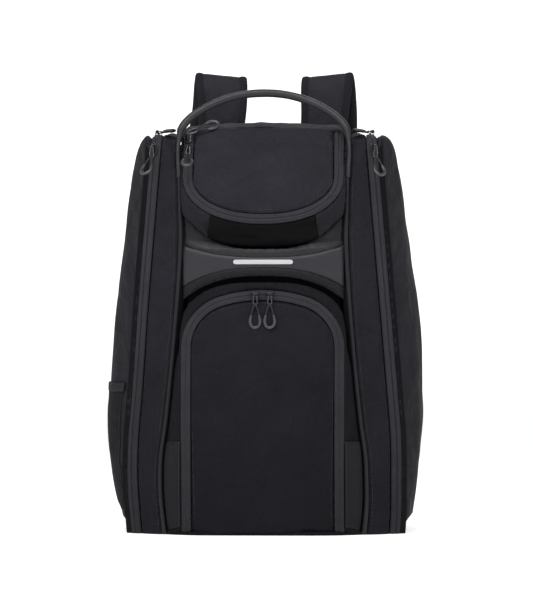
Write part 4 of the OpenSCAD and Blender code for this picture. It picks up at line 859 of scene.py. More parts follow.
# side zips
for s, side in ((1, "right"), (-1, "left")):
    cloth(f_tape, -1, 1.0, side + "_zip_tape_fixed", "tape", "bag_body", [side + "_zip_fixed"], mirror=s < 0)
    cloth(m_tape, 1, 1.0, side + "_zip_tape_moving", "tape", side + "_door", [side + "_zip_moving"], mirror=s < 0)
    uf = np.stack([zp(LOOP, 3.4, mdn*3.4/mdx - 2.1), zp(LOOP, 1.6, mdn*1.6/mdx - 2.1)] + [zp(LOOP, a, b) for a, b in ((-0.4, -1.9), (-3.0, -1.7), (-6.0, -1.7), (-9.5, -1.9), (-12.5, -2.2))], 1)
    um = np.stack([zp(LOOP, mdx*0.72, mdn*0.72 - 1.2), zp(LOOP, mdx + 0.6, mdn - 2.2), zp(LOOP, mdx + 3.4, mdn - 3.6), zp(LOOP, mdx + 6.0, mdn - 5.0)], 1)
    cloth(uf, -1, 0.5, side + "_zip_seam_allowance_fixed", "black", "bag_body", mirror=s < 0)
    cloth(um, 1, 0.5, side + "_zip_seam_allowance_moving", "black", side + "_door", mirror=s < 0)
    mid = zp(LOOP, 0.1, 0.0)
    acr = np.broadcast_to(np.array([1.0, 0, 0]), mid.shape) - 0.35*np.stack([0*LOOP[:, 2], LOOP[:, 2], LOOP[:, 3]], 1)
    nr = np.stack([0.3 + 0*LOOP[:, 2], LOOP[:, 2], LOOP[:, 3]], 1)
    T = teeth(mid, acr, nr, sink=1.1)
    if s < 0: T = mirror_any(T)
    put(T, side + "_zip_coil", "coil", "bag_body")
    for G, body, o in ((f_tape, "bag_body", -1), (m_tape, side + "_door", 1)):
        Q, N = line_at(G, "L", 1.9, o)
        if s < 0: Q, N = flip_x(Q), flip_x(N)
        sew(body, Q, N, length=2.4, gap=1.2, r=0.26)

# gussets round the compartments
cloth(FGd, -1, 2.4, "front_gusset_cloth", "gusset", "bag_body", ["front_gussets"], both=True)
cloth(TGd, -1, 2.4, "top_gusset_cloth", "gusset", "bag_body", ["top_gussets"], both=True)
for k, o in (("L", 4.2), ("R", 3.2)):
    Q, N = line_at(FGd, k, o, -1); sew("bag_body", Q[2:], N[2:], mirror=True)
    Q, N = line_at(TGd, k, o, -1); sew("bag_body", Q, N, mirror=True)
def xb(z): return xz(z) - 12
A = [[float(xb(z)) + 0.5, back_y - 0.5, z] for z in front_z] + [[float(xb(470)) - 4, back_y - 0.5, 470], [118, back_y - 1.5, 482]]
B = [zp([zip_rear_y, z, 1, 0], fdx, 2) for z in front_z]
c2 = [zip_rear_y - zip_corner_r*(1 - math.cos(math.radians(54))), zip_top_z - zip_corner_r*(1 - math.sin(math.radians(54))), math.cos(math.radians(54)), math.sin(math.radians(54))]
B += [zp([zip_rear_y, 468, 1, 0], fdx, 2), zp(c2, fdx, 2)]
Ad, Bd = dense(A, 8), dense(B, 8)
cr = np.linspace(0, 1, 16)
RG = Ad[:, None]*(1 - cr[None, :, None]) + Bd[:, None]*cr[None, :, None] + (0.8*np.sin(math.pi*cr))[None, :, None]*np.array([1, 1, 0])
RGd = dress(RG, 1, wr=0.4, scale=50, pucker=0.3, pitch=12, roll=1.2, seed=17, sides="LR", skip="TB")
cloth(RGd, 1, 2.4, "rear_gusset_cloth", "gusset", "bag_body", ["rear_gussets"], both=True)

# top pocket
LIDd = dress(R["lid"], -1, wr=0.9, scale=85, pucker=0.3, pitch=12, roll=1.7, seed=51, sides="LRT", skip="B")
lid = cloth(LIDd, -1, 2.8, "top_lid_cloth", "lid", "top_lid", ["top_lid"])
YK = dress(R["yoke"], -1, wr=0.7, scale=80, pucker=0.25, pitch=13, roll=1.2, seed=53, sides="LRB", skip="T")
tg = np.linspace(lid_end - 9, lid_end + 8, 12)
cloth(lp(yu[None, :]*88, tg[:, None], -3.4 + 0*tg[:, None]), -1, 1.2, "lid_hinge_tape", "black", "bag_body")
cloth(YK, -1, 2.4, "top_yoke_cloth", "lid", "bag_body", ["top_yoke"])
for k in "LR":
    Q, N = line_at(LIDd, k, 4.6, -1); sew("top_lid", Q[4:-1], N[4:-1])
    Q, N = line_at(YK, k, 4.0, -1); sew("bag_body", Q[2:-2], N[2:-2])
Q, N = line_at(LIDd, "T", 4.6, -1); sew("top_lid", Q[3:-3], N[3:-3])
cloth(lid_m, -1, 1.0, "lid_zip_tape_moving", "tape", "top_lid", ["lid_zip_moving"])
cloth(lid_f, 1, 1.0, "lid_zip_tape_fixed", "tape", "bag_body", ["lid_zip_fixed"])
lm = whole(rim(6.0, 0.0)); la = whole(rim(7.0, 0.0)) - lm
lt = whole(np.stack([0*RD[:, 1], RD[:, 1]], 1)); lnn = ln(lt[:, 1])
put(teeth(lm, la, lnn, sink=-0.1), "lid_zip_coil", "coil", "bag_body")
for G, body, o in ((lid_f, "bag_body", 1), (lid_m, "top_lid", -1)):
    Q, N = line_at(G, "L", 1.9, o); sew(body, Q, N, length=2.4, gap=1.2, r=0.26)
UNd = dress(UNDER, -1, wr=1.4, scale=60, pucker=0.4, pitch=14, roll=1.6, seed=55, sides="LR", skip="TB", stretch=(1.6, 1, 1))
cloth(UNd, -1, 2.2, "top_pocket_underside_cloth", "dark", "bag_body", ["top_pocket_underside"])
SRd = dress(SURR, -1, wr=1.2, scale=60, pucker=0.4, pitch=14, roll=1.6, seed=57, sides="LR", skip="TB")
cloth(SRd, -1, 2.4, "top_pocket_surround_cloth", "gusset", "bag_body", ["top_pocket_surround"], both=True)
Q, N = line_at(SRd, "L", 4.0, -1); sew("bag_body", Q, N, mirror=True)

# band
PNd = dress(PANEL, -1, wr=0.5, scale=80, pucker=0.2, pitch=16, roll=1.0, seed=61, stretch=(1.5, 1, 1))
UTd = dress(UTRIM, -1, wr=0.3, scale=60, pucker=0.25, pitch=13, roll=1.1, seed=63)
LTd = dress(LTRIM, -1, wr=0.3, scale=60, pucker=0.25, pitch=13, roll=1.1, seed=65)
cloth(PNd, -1, 2.2, "reflective_panel_cloth", "coated", "bag_body", ["reflective_panel"])
cloth(UTd, -1, 2.6, "upper_trim_cloth", "trim_up", "bag_body", ["upper_trim"])
cloth(LTd, -1, 2.6, "lower_trim_cloth", "trim", "bag_body", ["lower_trim"])
for G in (UTd, LTd):
    for k in "TB":
        Q, N = line_at(G, k, 2.2, -1); sew("bag_body", Q, N, length=2.9, gap=1.3, r=0.36)
def strip_data(w, h, t, z0, n=12):
    a = np.linspace(-math.pi/2, math.pi/2, n)
    r = h/2
    o = np.concatenate([np.stack([w/2 - r + r*np.cos(a), r*np.sin(a)], 1), np.stack([-(w/2 - r) - r*np.cos(a), -r*np.sin(a)], 1)])
    k = len(o); V = []
    for ins, dy in ((0, 0.3), (0, -t*0.6), (0.35, -t), (0.6, -t)):
        q = o*[(w/2 - ins)/(w/2), (h/2 - ins)/(h/2)]
        for x, z in q: V.append([x, float(by(x, z0)) - 0.2 + dy, z0 + z])
    I = np.arange(4*k).reshape(4, k)
    F = []
    for i in range(3):
        for j in range(k): F.append([I[i, j], I[i, (j+1) % k], I[i+1, (j+1) % k], I[i+1, j]])
    F += [list(I[3][::1]), list(I[0][::-1])]
    return np.array(V), F, np.array([[v[0]*S, v[2]*S] for v in V])
st = put(strip_data(73.5, 5.6, 0.9, 335.8), "reflective_strip_tape", "reflect", "bag_body", ["reflective_strip"])
xs_, zs_ = np.linspace(-95, 95, 60)[None, :], np.linspace(262, 345, 26)[:, None]
LN = np.stack([xs_ + 0*zs_, -105 + 0*xs_*zs_, zs_ + 0*xs_], -1)
LN[..., 1] -= 1.6*np.abs(waves(LN, 60, 71, stretch=(1, 1, 1.6)))*0 - 0.8*waves(LN, 60, 71)
cloth(LN, -1, 1.2, "recess_liner_cloth", "lining", "bag_body", ["recess_liner"])

# main pocket
FLd = dress(R["flap"], 1, wr=1.3, scale=100, pucker=0.35, pitch=14, roll=1.7, seed=75, sides="LRT", skip="B", stretch=(1, 1, 1.4))
cloth(FLd, 1, 2.6, "front_flap_cloth", "flap", "front_flap", ["front_flap"])
for k in "LRT":
    Q, N = line_at(FLd, k, 4.6, 1); sew("front_flap", Q[3:-3], N[3:-3])
cloth(flap_m, 1, 1.0, "flap_zip_tape_moving", "tape", "front_flap", ["flap_zip_moving"])
cloth(flap_f, -1, 1.0, "flap_zip_tape_fixed", "tape", "bag_body", ["flap_zip_fixed"])
fm = whole(frim(6.0, 0.8)); fa = whole(frim(7.0, 0.8)) - fm
put(teeth(fm, fa, np.broadcast_to(np.array([0, -1.0, 0]), fm.shape), sink=0.5), "flap_zip_coil", "coil", "bag_body")
for G, body, o in ((flap_f, "bag_body", -1), (flap_m, "front_flap", 1)):
    Q, N = line_at(G, "L", 1.9, o); sew(body, Q, N, length=2.4, gap=1.2, r=0.26)
FWd = dress(FWALL, 1, wr=0.9, scale=60, pucker=0.3, pitch=12, roll=1.4, seed=77, sides="LR", skip="TB")
cloth(FWd, 1, 2.4, "front_pocket_frame_cloth", "frame", "bag_body", ["front_pocket_frame"])
sj_z = np.linspace(8, 462, 60)
SJ = np.stack([np.stack([xj(sj_z) + a, yj(sj_z) + b, sj_z], -1) for a, b in ((-8, 6.5), (-4, 5.0), (0, 4.2), (4, 5.0), (9, 7.0))], 1)
cloth(SJ, -1, 0.6, "column_seam_allowance", "black", "bag_body", both=True)
pz, pc = np.linspace(116, 13, 34), np.linspace(0.05, 0.95, 12)
a_ = np.stack([np.full(34, flap_half + 12.6), fy(flap_half + 12.5, pz) - 0.3, pz], -1)
b_ = np.stack([xj(pz) - 3.0, yj(pz) - 1, pz], -1)
PT = a_[:, None]*(1 - pc[None, :, None]) + b_[:, None]*pc[None, :, None]
PT[..., 1] -= (1.2*np.sin(math.pi*pc) + 2.7)[None, :]
PTd = dress(PT, 1, wr=0.25, scale=40, pucker=0.2, pitch=11, roll=0.9, seed=79)
cloth(PTd, 1, 1.2, "reinforcement_patch_cloth", "patch", "bag_body", ["reinforcement_patches"], both=True)
for k in "LRT":
    Q, N = line_at(PTd, k, 1.8, 1); sew("bag_body", Q, N, mirror=True)

# piping and handle
PIPE_Z = np.arange(8, 459, 5.0)
pp = np.stack([xj(PIPE_Z), yj(PIPE_Z) - 2.5, PIPE_Z], 1)
put(join_any(*[d if s > 0 else mirror_any(d) for s in (1, -1) for d in [tube_data(pp + 0.1*np.stack([0*PIPE_Z, waves(pp, 22, 81), 0*PIPE_Z], 1), 2.5, (0, 1, 0), 14)]]), "edge_piping_cord", "piping", "bag_body", ["edge_piping"])
hp = [102.5, -96, 500]
half = [[104.2, -112.2, 440], [104.8, -110.6, 452], [105.5, -108, 462], [105.8, -105.5, 474], [105, -101.5, 485], [103.6, -98, 494], hp, [95, -91.5, 511.5], [84, -87, 522.5], [66, -82, 535], [46, -77, 544.3], [24, -73.5, 549.8], [0, -72.5, 551.5]]
HP = smooth_path(half + [[-x, y, z] for x, y, z in half[-2::-1]], 2.2)
HP[:, 2] -= 5.6*smooth((HP[:, 2] - 500)/50)
dh = np.concatenate([[0], np.cumsum(np.linalg.norm(np.diff(HP, axis=0), axis=1))]); eh = np.minimum(dh, dh[-1] - dh)
rad = 2.5 + 2.5*smooth((HP[:, 2] - 482)/22) + 0.08*waves(HP, 26, 91)
H = tube_data(HP, rad, (0, 1, 0.2), 22)
handle = put(H, "carry_handle_cover", "handle", None, ["carry_handle", "handle_feet"])
T_ = frames(HP); side_ = unit(np.cross(T_, [0, 1, 0])); dn = -np.sign(side_[:, 2:3] + 1e-9)*side_
seamN = unit(dn + np.array([0, -0.75, 0]))
seam = HP + seamN*(rad[:, None] - 0.1)
SM = ribbon_data(seam[14:-14], unit(np.cross(T_, seamN))[14:-14], 2.2, 1.3, nw=6)
seam_ob = put(SM, "carry_handle_seam", "binding", None)
sd = stitch_data(seam[16:-16] + seamN[16:-16]*0.5, seamN[16:-16], r=0.3)
hst = put(sd, "carry_handle_stitching", "stitch", None)
for o in (handle, seam_ob, hst):
    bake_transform(o)
# ------------------------------------------------------------------ sliders and pulls
def place(D, p, f, n, mirror=False):
    V, F, uv = D
    z = unit(np.asarray(n, float)); f = np.asarray(f, float); x = unit(f - (f @ z)*z); y = np.cross(z, x)
    W = np.asarray(V)[:, 0:1]*x + np.asarray(V)[:, 1:2]*y + np.asarray(V)[:, 2:3]*z + np.asarray(p, float)
    D = (W, F, uv)
    return mirror_any(D) if mirror else D

def lathe_plate(outline, levels):
    """stack of scaled outlines: (scale inset mm, z)"""
    o = np.asarray(outline, float); k = len(o); c = o.mean(0)
    V = []
    for ins, z in levels:
        d = o - c; L = np.linalg.norm(d, axis=1, keepdims=True)
        q = c + d*np.maximum(0, (L - ins))/L
        V += [[a, b, z] for a, b in q]
    I = np.arange(len(levels)*k).reshape(len(levels), k)
    F = [[I[i, j], I[i, (j+1) % k], I[i+1, (j+1) % k], I[i+1, j]] for i in range(len(levels) - 1) for j in range(k)]
    F += [list(I[0][::-1]), list(I[-1])]
    return np.array(V), F, np.array([[v[0]*S, v[1]*S] for v in V])

def slider_data():
    th = np.linspace(0, 2*math.pi, 36, endpoint=False)
    c, s = np.cos(th), np.sin(th)
    x = 5.5*np.sign(c)*np.abs(c)**0.75
    w = 3.55 + 0.75*smooth((x + 1.5)/5)
    y = w*np.sign(s)*np.abs(s)**0.6
    parts = [lathe_plate(np.stack([x, y], 1), [(0.5, -0.1), (0.1, 0.15), (0, 0.5), (0, 1.0), (0.25, 1.35), (0.7, 1.55)])]
    arch = smooth_path([[-4.3, 0, 0.9], [-4.25, 0, 3.2], [-3.7, 0, 5.6], [-2.2, 0, 7.0], [0, 0, 7.25], [2.2, 0, 7.0], [3.7, 0, 5.6], [4.25, 0, 3.2], [4.3, 0, 0.9]], 0.7)
    parts.append(ribbon_data(arch, [0, 1, 0], 2.5, 1.1, nw=7))
    for s_ in (-1, 1):
        rail = smooth_path([[-4.6, s_*3.5, 0.2], [0, s_*3.6, 0.1], [4.6, s_*4.1, 0.2]], 0.9)
        parts.append(tube_data(rail, 0.75, (0, 1, 0), 8))
    parts.append(tube_data(smooth_path([[4.9, -3.2, 0.5], [5.6, -1.5, 0.5], [5.75, 0, 0.5], [5.6, 1.5, 0.5], [4.9, 3.2, 0.5]], 0.7), 0.62, (0, 0, 1), 8))
    return join_any(*parts)

def closed_tube(P, r, ref, n=10, flat=1.0):
    P = np.asarray(P, float); k = len(P)
    T = unit(np.roll(P, -1, 0) - np.roll(P, 1, 0))
    a = unit(np.cross(T, np.asarray(ref, float))); b = np.cross(a, T)
    th = np.linspace(0, 2*math.pi, n, endpoint=False)
    r = np.broadcast_to(np.asarray(r, float), (k,))
    V = P[:, None] + r[:, None, None]*(np.cos(th)[None, :, None]*a[:, None] + flat*np.sin(th)[None, :, None]*b[:, None])
    I = np.arange(k*n).reshape(k, n); K = np.roll(I, -1, 0); J = np.roll(I, -1, 1); KJ = np.roll(K, -1, 1)
    F = np.stack([I.ravel(), J.ravel(), KJ.ravel(), K.ravel()], 1)[:, ::-1]
    d = np.arange(k)*np.linalg.norm(P[1] - P[0])
    uv = np.stack([np.broadcast_to(th*np.mean(r)*S, (k, n)), np.broadcast_to(d[:, None]*S, (k, n))], -1).reshape(-1, 2)
    return V.reshape(-1, 3), [list(f) for f in F], uv

def bail_data():
    th = np.linspace(0, 2*math.pi, 44, endpoint=False)
    c, s = np.cos(th), np.sin(th)
    y = -5.0 + 6.3*np.sign(s)*np.abs(s)**0.75
    w = 1.9 + 0.9*smooth((-y - 2)/8)
    x = w*np.sign(c)*np.abs(c)**0.7
    z = -1.4*smooth((y + 0.6)/1.8)
    return closed_tube(np.stack([x, y, z], 1), 0.72, (0, 0, 1), 10)

def sagged(P, sag):
    """sag < 90: the loop droops by that many mm; sag > 100: it stands off the cloth by sag - 100 degrees"""
    P = np.array(P, float); u = np.clip((-P[:, 1] - 9)/30, 0, 1.1)
    if sag > 100:
        a = math.radians(sag - 100); y0, z0 = -10.3, 0.6
        k = smooth((-P[:, 1] - 9.0)/4)*a
        dy, dz = P[:, 1] - y0, P[:, 2] - z0
        Q = P.copy(); Q[:, 1] = y0 + dy*np.cos(k) + dz*np.sin(k); Q[:, 2] = z0 - dy*np.sin(k) + dz*np.cos(k)
        return Q
    P[:, 2] += sag*u**1.7
    return P

def cord_data(sag=0.0, twist=0.0):
    top = [[-5.4, -27.5, 0], [-4.6, -23.5, 0.1], [-3.2, -18.5, 0.2], [-1.6, -13.2, 0.5], [-0.6, -10.9, 1.05], [0, -10.3, 1.15], [0.6, -10.9, 1.05], [1.6, -13.2, 0.5], [3.2, -18.5, 0.2], [4.6, -23.5, 0.1], [5.4, -27.5, 0]]
    P = sagged(smooth_path(top, 0.9), sag)
    a = tube_data(P, 0.85 + 0.06*np.sin(np.arange(len(P))*1.9), (0, 0, 1), 10)
    knot = sagged(smooth_path([[-1.5, -12.9, -0.2], [-0.9, -13.6, 0.9], [0.4, -13.2, 1.3], [1.5, -12.8, 0.4], [0.8, -12.2, -0.7], [-0.8, -12.4, -0.8]], 0.6), sag)
    b = tube_data(knot, 0.6, (0, 1, 0), 8)
    return join_any(a, b)

def tip_data(sag=0.0):
    th = np.linspace(math.radians(152), math.radians(388), 44)
    x, y = 6.1*np.cos(th), -31.6 + 8.0*np.sin(th)
    P = np.stack([x, y, 0*x], 1)
    P = np.concatenate([[[-4.75, -24.2, 0]], P[1:-1], [[4.75, -24.2, 0]]])
    P = sagged(smooth_path(P, 0.8), sag)
    d = np.concatenate([[0], np.cumsum(np.linalg.norm(np.diff(P, axis=0), axis=1))]); e = np.minimum(d, d[-1] - d)
    r = 1.15 + 0.72*smooth(e/4.5) + 0.28*np.exp(-((e - 1.0)/0.7)**2)
    return tube_data(P, r, (0, 0, 1), 18, flat=0.86)

def at_frame(p, f, n, s): return dict(p=p, f=f, n=n, mirror=s < 0)
zn = unit(np.array([0.38, -0.92, 0])); zf = 474.0
fs_p = np.array([float(xz(zf)), zip_front_y, zf]) + 1.9*zn
ts_p = np.array([float(xz(zip_top_z)) - 0.3, -58, zip_top_z + 1.9])
lt_f, lt_t = 88.0, 104.0
def mxv(v): v = np.array(v, float); v[0] *= -1; return v
def lid_c(t, k): return mxv(lp(lid_half + tape_w, t, k))
fl_a, fc_z, fl_r = math.radians(2.9), flap_top_z - flap_arc_r, flap_arc_r + tape_w
def fl_p(s, k): x, z = s*fl_r*math.sin(fl_a), fc_z + fl_r*math.cos(fl_a); return np.array([x, float(fy(x, z)) - k, z])
SL, PL = {}, {}
for s, side in ((1, "right"), (-1, "left")):
    SL[side + "_zip_slider_front"] = at_frame(fs_p, [-0.0835, 0, 1], zn, s)
    PL[side + "_zip_pull_front"] = (at_frame(fs_p + 6.1*zn + [0, 0, 2], [1, 0.4, 0], zn + [0, 0, 0.02], s), 100.0 + (44 if s < 0 else 38))
    SL[side + "_zip_slider_top"] = at_frame(ts_p, [0, 1, 0], [0.25, 0, 1], s)
    PL[side + "_zip_pull_top"] = (at_frame(ts_p + [1.4, 0, 2.5], [0.836, -0.532, 0.02], [0.02, 0.02, 1.0], s), 2.0)
    SL["flap_zip_slider_" + side] = at_frame(fl_p(s, 1.7), [s, 0, 0], [0, -1, 0.14], 1)
    PL["flap_zip_pull_" + side] = (at_frame(fl_p(s, 7.8), [1, 0, 0], [0, -1, 0.16], 1), -3.0)
SL["lid_zip_slider_front"] = at_frame(lid_c(lt_f, 1.8), lid_c(lt_f + 2, 0) - lid_c(lt_f - 2, 0), mxv(ln(lt_f)) + [-0.12, 0, 0], 1)
SL["lid_zip_slider_top"] = at_frame(lid_c(lt_t, 1.8), lid_c(lt_t + 2, 0) - lid_c(lt_t - 2, 0), mxv(ln(lt_t)) + [-0.12, 0, 0], 1)
PL["lid_zip_pull_front"] = (at_frame(lid_c(lt_f, 7.9), [1, 0, 0], ln(lt_f - 14), 1), 128.0)
PL["lid_zip_pull_top"] = (at_frame(lid_c(lt_t, 8.3), [-0.42, 0.56, 0.71], ln(lt_t) + [0.03, 0, 0], 1), -1.0)
for n_, fr_ in SL.items():
    sd_ = slider_data()
    if n_.endswith("_zip_slider_top") and not n_.startswith("lid"): sd_[0][:, 2] *= 0.5
    put(place(sd_, **fr_), n_ + "_body", "metal", n_, [n_])
for n_, (fr_, sag) in PL.items():
    put(place(bail_data(), **fr_), n_ + "_bail", "bail", n_, [n_])
    put(place(cord_data(sag), **fr_), n_ + "_cord", "cord", n_)
    put(place(tip_data(sag), **fr_), n_ + "_tip", "tip", n_)

# ------------------------------------------------------------------ shoulder straps
SP = np.array([[67, 131.7, 502, 0.94], [67.5, 131.9, 530, 0.98], [68.5, 133.2, 556, 1.03], [69.5, 137, 574, 1.06], [71, 144, 582.5, 1.07], [73, 150.6, 574, 1.07], [75, 153.4, 556, 1.05], [77.5, 153.6, 520, 1.03],
               [81, 153.2, 480, 1], [87, 152.4, 430, 1], [94, 151.4, 375, 0.97], [101, 150.4, 320, 0.92], [106, 149.6, 270, 0.82], [108, 149, 228, 0.62]])
SPd = dense(SP, 9)
SPd[:, 2] -= 7.4*smooth((SPd[:, 2] - 500)/75)
LEAN = {1: 3.5*smooth((SPd[:, 2] - 470)/70), -1: -7.0*smooth((SPd[:, 2] - 460)/90)}
SC, SW = SPd[:, :3], SPd[:, 3]*62.5
ST = frames(SC); SAx = unit(np.array([1, 0, 0.1]) - (ST @ np.array([1, 0, 0.1]))[:, None]*ST); SBn = np.cross(ST, SAx)   # +b is the side towards the wearer
def strap_surface(s0, s1, h, n, fn):
    """lengthwise strip between fractions s0..s1 of the half width, height fn(s) along +-b"""
    s = np.linspace(s0, s1, n)
    return SC[:, None] + SAx[:, None]*(SW[:, None, None]/2*s[None, :, None]) + SBn[:, None]*(h*fn(s)[None, :, None])
def strap_shell(edge, t_in, t_out, n=34):
    s = np.sin(np.linspace(-math.pi/2, math.pi/2, n))
    prof_o = np.stack([s*edge, -t_out*(1 - np.abs(s)**3.2)**0.55], 1)
    prof_i = np.stack([s[::-1][1:-1]*edge, t_in*(1 - np.abs(s[::-1][1:-1])**3.2)**0.55], 1)
    return np.concatenate([prof_o, prof_i])
def strap_loop(prof, absolute=False, relief=0.25, seed=5):
    k, n = len(SC), len(prof)
    x = prof[None, :, 0]*(1 if absolute else SW[:, None]/2)
    x = np.broadcast_to(x, (k, n))
    V = SC[:, None] + SAx[:, None]*x[..., None] + SBn[:, None]*prof[None, :, 1, None]
    V = V + SBn[:, None]*(relief*waves(V, 45, seed)*np.sign(prof[:, 1])[None, :])[..., None]
    I = np.arange(k*n).reshape(k, n); J = np.roll(I, -1, 1)
    F = [list(f) for f in np.stack([I[:-1].ravel(), I[1:].ravel(), J[1:].ravel(), J[:-1].ravel()], 1)] + [list(I[0]), list(I[-1][::-1])]
    d = np.concatenate([[0], np.cumsum(np.linalg.norm(np.diff(SC, axis=0), axis=1))])
    uv = np.stack([x*S, np.broadcast_to(d[:, None]*S, (k, n))], -1).reshape(-1, 2)
    return V.reshape(-1, 3), F, uv
FACE = strap_loop(strap_shell(0.90, 1.0, 5.2), seed=101)
MESHP = strap_loop(strap_shell(0.92, 5.0, -0.6), seed=103)
def binding_loop(sign, seed):
    th = np.linspace(0, 2*math.pi, 20, endpoint=False)
    k = len(SC); c = SC + SAx*(sign*(SW/2 - 6.0))[:, None]
    V = c[:, None] + SAx[:, None]*(6.0*np.sign(np.cos(th))*np.abs(np.cos(th))**0.8)[None, :, None] + SBn[:, None]*(4.2*np.sign(np.sin(th))*np.abs(np.sin(th))**0.9 - 0.4)[None, :, None]
    V = V + SBn[:, None]*(0.2*waves(V, 16, seed))[..., None]
    n = len(th); I = np.arange(k*n).reshape(k, n); J = np.roll(I, -1, 1)
    F = [list(f) for f in np.stack([I[:-1].ravel(), I[1:].ravel(), J[1:].ravel(), J[:-1].ravel()], 1)] + [list(I[0]), list(I[-1][::-1])]
    d = np.concatenate([[0], np.cumsum(np.linalg.norm(np.diff(SC, axis=0), axis=1))])
    uv = np.stack([np.broadcast_to(th*5*S, (k, n)), np.broadcast_to(d[:, None]*S, (k, n))], -1).reshape(-1, 2)
    return V.reshape(-1, 3), F, uv
BIND = join_any(binding_loop(1, 111), binding_loop(-1, 113))
mid_web = np.concatenate([SC[62:], [[108.2, 149, 221], [108.4, 149, 213]]])
MW = ribbon_data(mid_web - np.concatenate([SBn[62:], SBn[-2:]])*-0.0 + np.concatenate([-SBn[62:]*5.9, [[0, 5.2, 0], [0, 1.0, 0]]]), [1, 0, 0.06], 25.0, 1.5, nw=9)
for s, side in ((1, "right"), (-1, "left")):
    def M(D, s=s):
        V = np.array(D[0], float); V[:, 0] += 3.5*smooth((V[:, 2] - 470)/70) if s > 0 else -7.0*smooth((V[:, 2] - 460)/90)
        D = (V, D[1], D[2])
        return D if s > 0 else mirror_any(D)
    b_ = side + "_shoulder_strap"
    o = put(M(FACE), b_ + "_face", "strap", b_, [b_])
    o = put(M(MESHP), b_ + "_mesh", "mesh", b_)
    put(M(BIND), b_ + "_binding", "binding", b_)
    put(M(MW), b_ + "_webbing", "webbing", b_)
    for q, off in ((0.60, -4.6), (-0.60, -4.6)):
        Q = SC + SAx*(SW/2*q)[:, None] + SBn*off; Q[:, 0] += LEAN[s]
        Q = Q if s > 0 else flip_x(Q); N = -SBn if s > 0 else -flip_x(SBn)
        sew(b_, Q[4:-2], N[4:-2])
    for q in (1, -1):
        Q = SC + SAx*(q*(SW/2 - 9.4))[:, None] - SBn*4.15; Q[:, 0] += LEAN[s]
        Q = Q if s > 0 else flip_x(Q); N = -SBn if s > 0 else -flip_x(SBn)
        sew(b_, Q[4:-2], N[4:-2], length=2.4, gap=1.2, r=0.3)
WEB = dense([[135, 131.5, 22], [134, 132.5, 40], [130, 137, 70], [124, 142.5, 110], [117, 146.5, 150], [111.5, 148.3, 176], [110, 148.6, 183]], 8)
W = ribbon_data(WEB, [1, 0, 0.2], 25, 1.7, nw=9); put(join_any(W, mirror_any(W)), "lower_strap_webbing", "webbing", "bag_body", ["lower_webbing"])
WT = dense([[109.5, 153.2, 191], [110.5, 155.6, 172], [111.5, 156.4, 140], [112, 156.4, 106]], 8)
fold = smooth_path([[112, 156.4, 106], [112, 155.7, 104.3], [112, 154.6, 105.2], [112, 154.4, 112], [111.9, 154.4, 118]], 1.0)
for s, side in ((1, "right"), (-1, "left")):
    D = join_any(ribbon_data(WT, [1, 0, 0.03], 25, 1.6, nw=9), ribbon_data(fold, [1, 0, 0.03], 24.8, 1.5, nw=9))
    put(D if s > 0 else mirror_any(D), side + "_webbing_tail_end", "webbing", side + "_ladder_lock", [side + "_webbing_tail"])
    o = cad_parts[side + "_ladder_lock"]
    o.data.materials.clear(); o.data.materials.append(MAT["plastic"]); add_bevel(o, 0.7, 3)

# ------------------------------------------------------------------ flat panels
def slab(outline, t, axis, at_, name, mat, body, rep, bevel=1.2):
    """outline in two axes, extruded by t from at_ along the third"""
    o = np.asarray(outline, float); k = len(o)
    if axis == "y": V = [[a, at_, b] for a, b in o] + [[a, at_ + t, b] for a, b in o]
    else: V = [[a, b, at_] for a, b in o] + [[a, b, at_ + t] for a, b in o]
    F = [list(range(k)), list(range(2*k - 1, k - 1, -1))] + [[(i + 1) % k, i, k + i, k + (i + 1) % k] for i in range(k)]
    ob = make_object(name, V, F, np.array([[v[0]*S, (v[2] if axis == "y" else v[1])*S] for v in V]), False)
    import bmesh
    bm = bmesh.new(); bm.from_mesh(ob.data); bmesh.ops.recalc_face_normals(bm, faces=bm.faces); bm.to_mesh(ob.data); bm.free()
    ob.data.materials.append(MAT[mat]); add_bevel(ob, bevel, 3)
    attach(ob, body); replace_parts(ob, *rep) if rep else None
    return ob
r_ = [[float(xb(z)), z] for z in np.linspace(5.5, 450, 30)] + [[float(xb(476)) - 26 + 26*math.cos(math.radians(a)), 471 + 26*math.sin(math.radians(a))] for a in range(0, 91, 6)]
slab(r_ + [[-x, z] for x, z in r_[::-1]], back_t - 0.6, "y", back_y, "back_panel_cloth", "black", "bag_body", ["back_panel"], 2.6)
BASE = [[0, -137], [60, -136.5], [88, -133], [106, -124], [121, -112], [147.5, -92], [149, 0], [147.5, 96], [143, back_y + back_t]]
bb = dense(BASE, 5); bb[:, 0] *= 0.995; bb[:, 1] *= 0.995
slab([list(p) for p in bb] + [[-p[0], p[1]] for p in bb[:0:-1]], 5, "z", 0.0, "base_panel_cloth", "black", "bag_body", ["base_panel"], 2.4)
DV = np.stack([np.stack([lerp(float(xj(z)) - 5.2, 98, u), lerp(float(yj(z)) + 11, back_y - 1, u), z], -1) for z in np.linspace(7, 455, 60) for u in np.linspace(0, 1, 30)]).reshape(60, 30, 3)
DV[..., 0] += 0.9*waves(DV, 70, 131)
cloth(DV, 1, 1.6, "compartment_divider_lining", "lining", "bag_body", ["compartment_dividers"], both=True)
yv, xv = np.linspace(-101, back_y - 1, 30)[:, None], np.linspace(-93, 93, 30)[None, :]
FLR = np.stack([xv + 0*yv, yv + 0*xv, 383.5 + 0*xv*yv], -1); FLR[..., 2] += 0.7*waves(FLR, 60, 133)
cloth(FLR, 1, 1.6, "top_pocket_floor_lining", "lining", "bag_body", ["top_pocket_floor"])
slab([[-104, 468], [-98, 462], [98, 462], [104, 468], [104, 500.5], [-104, 500.5]], 5.2, "y", back_y + back_t + 0.2, "strap_yoke_cloth", "black", "bag_body", ["strap_yoke"], 1.6)
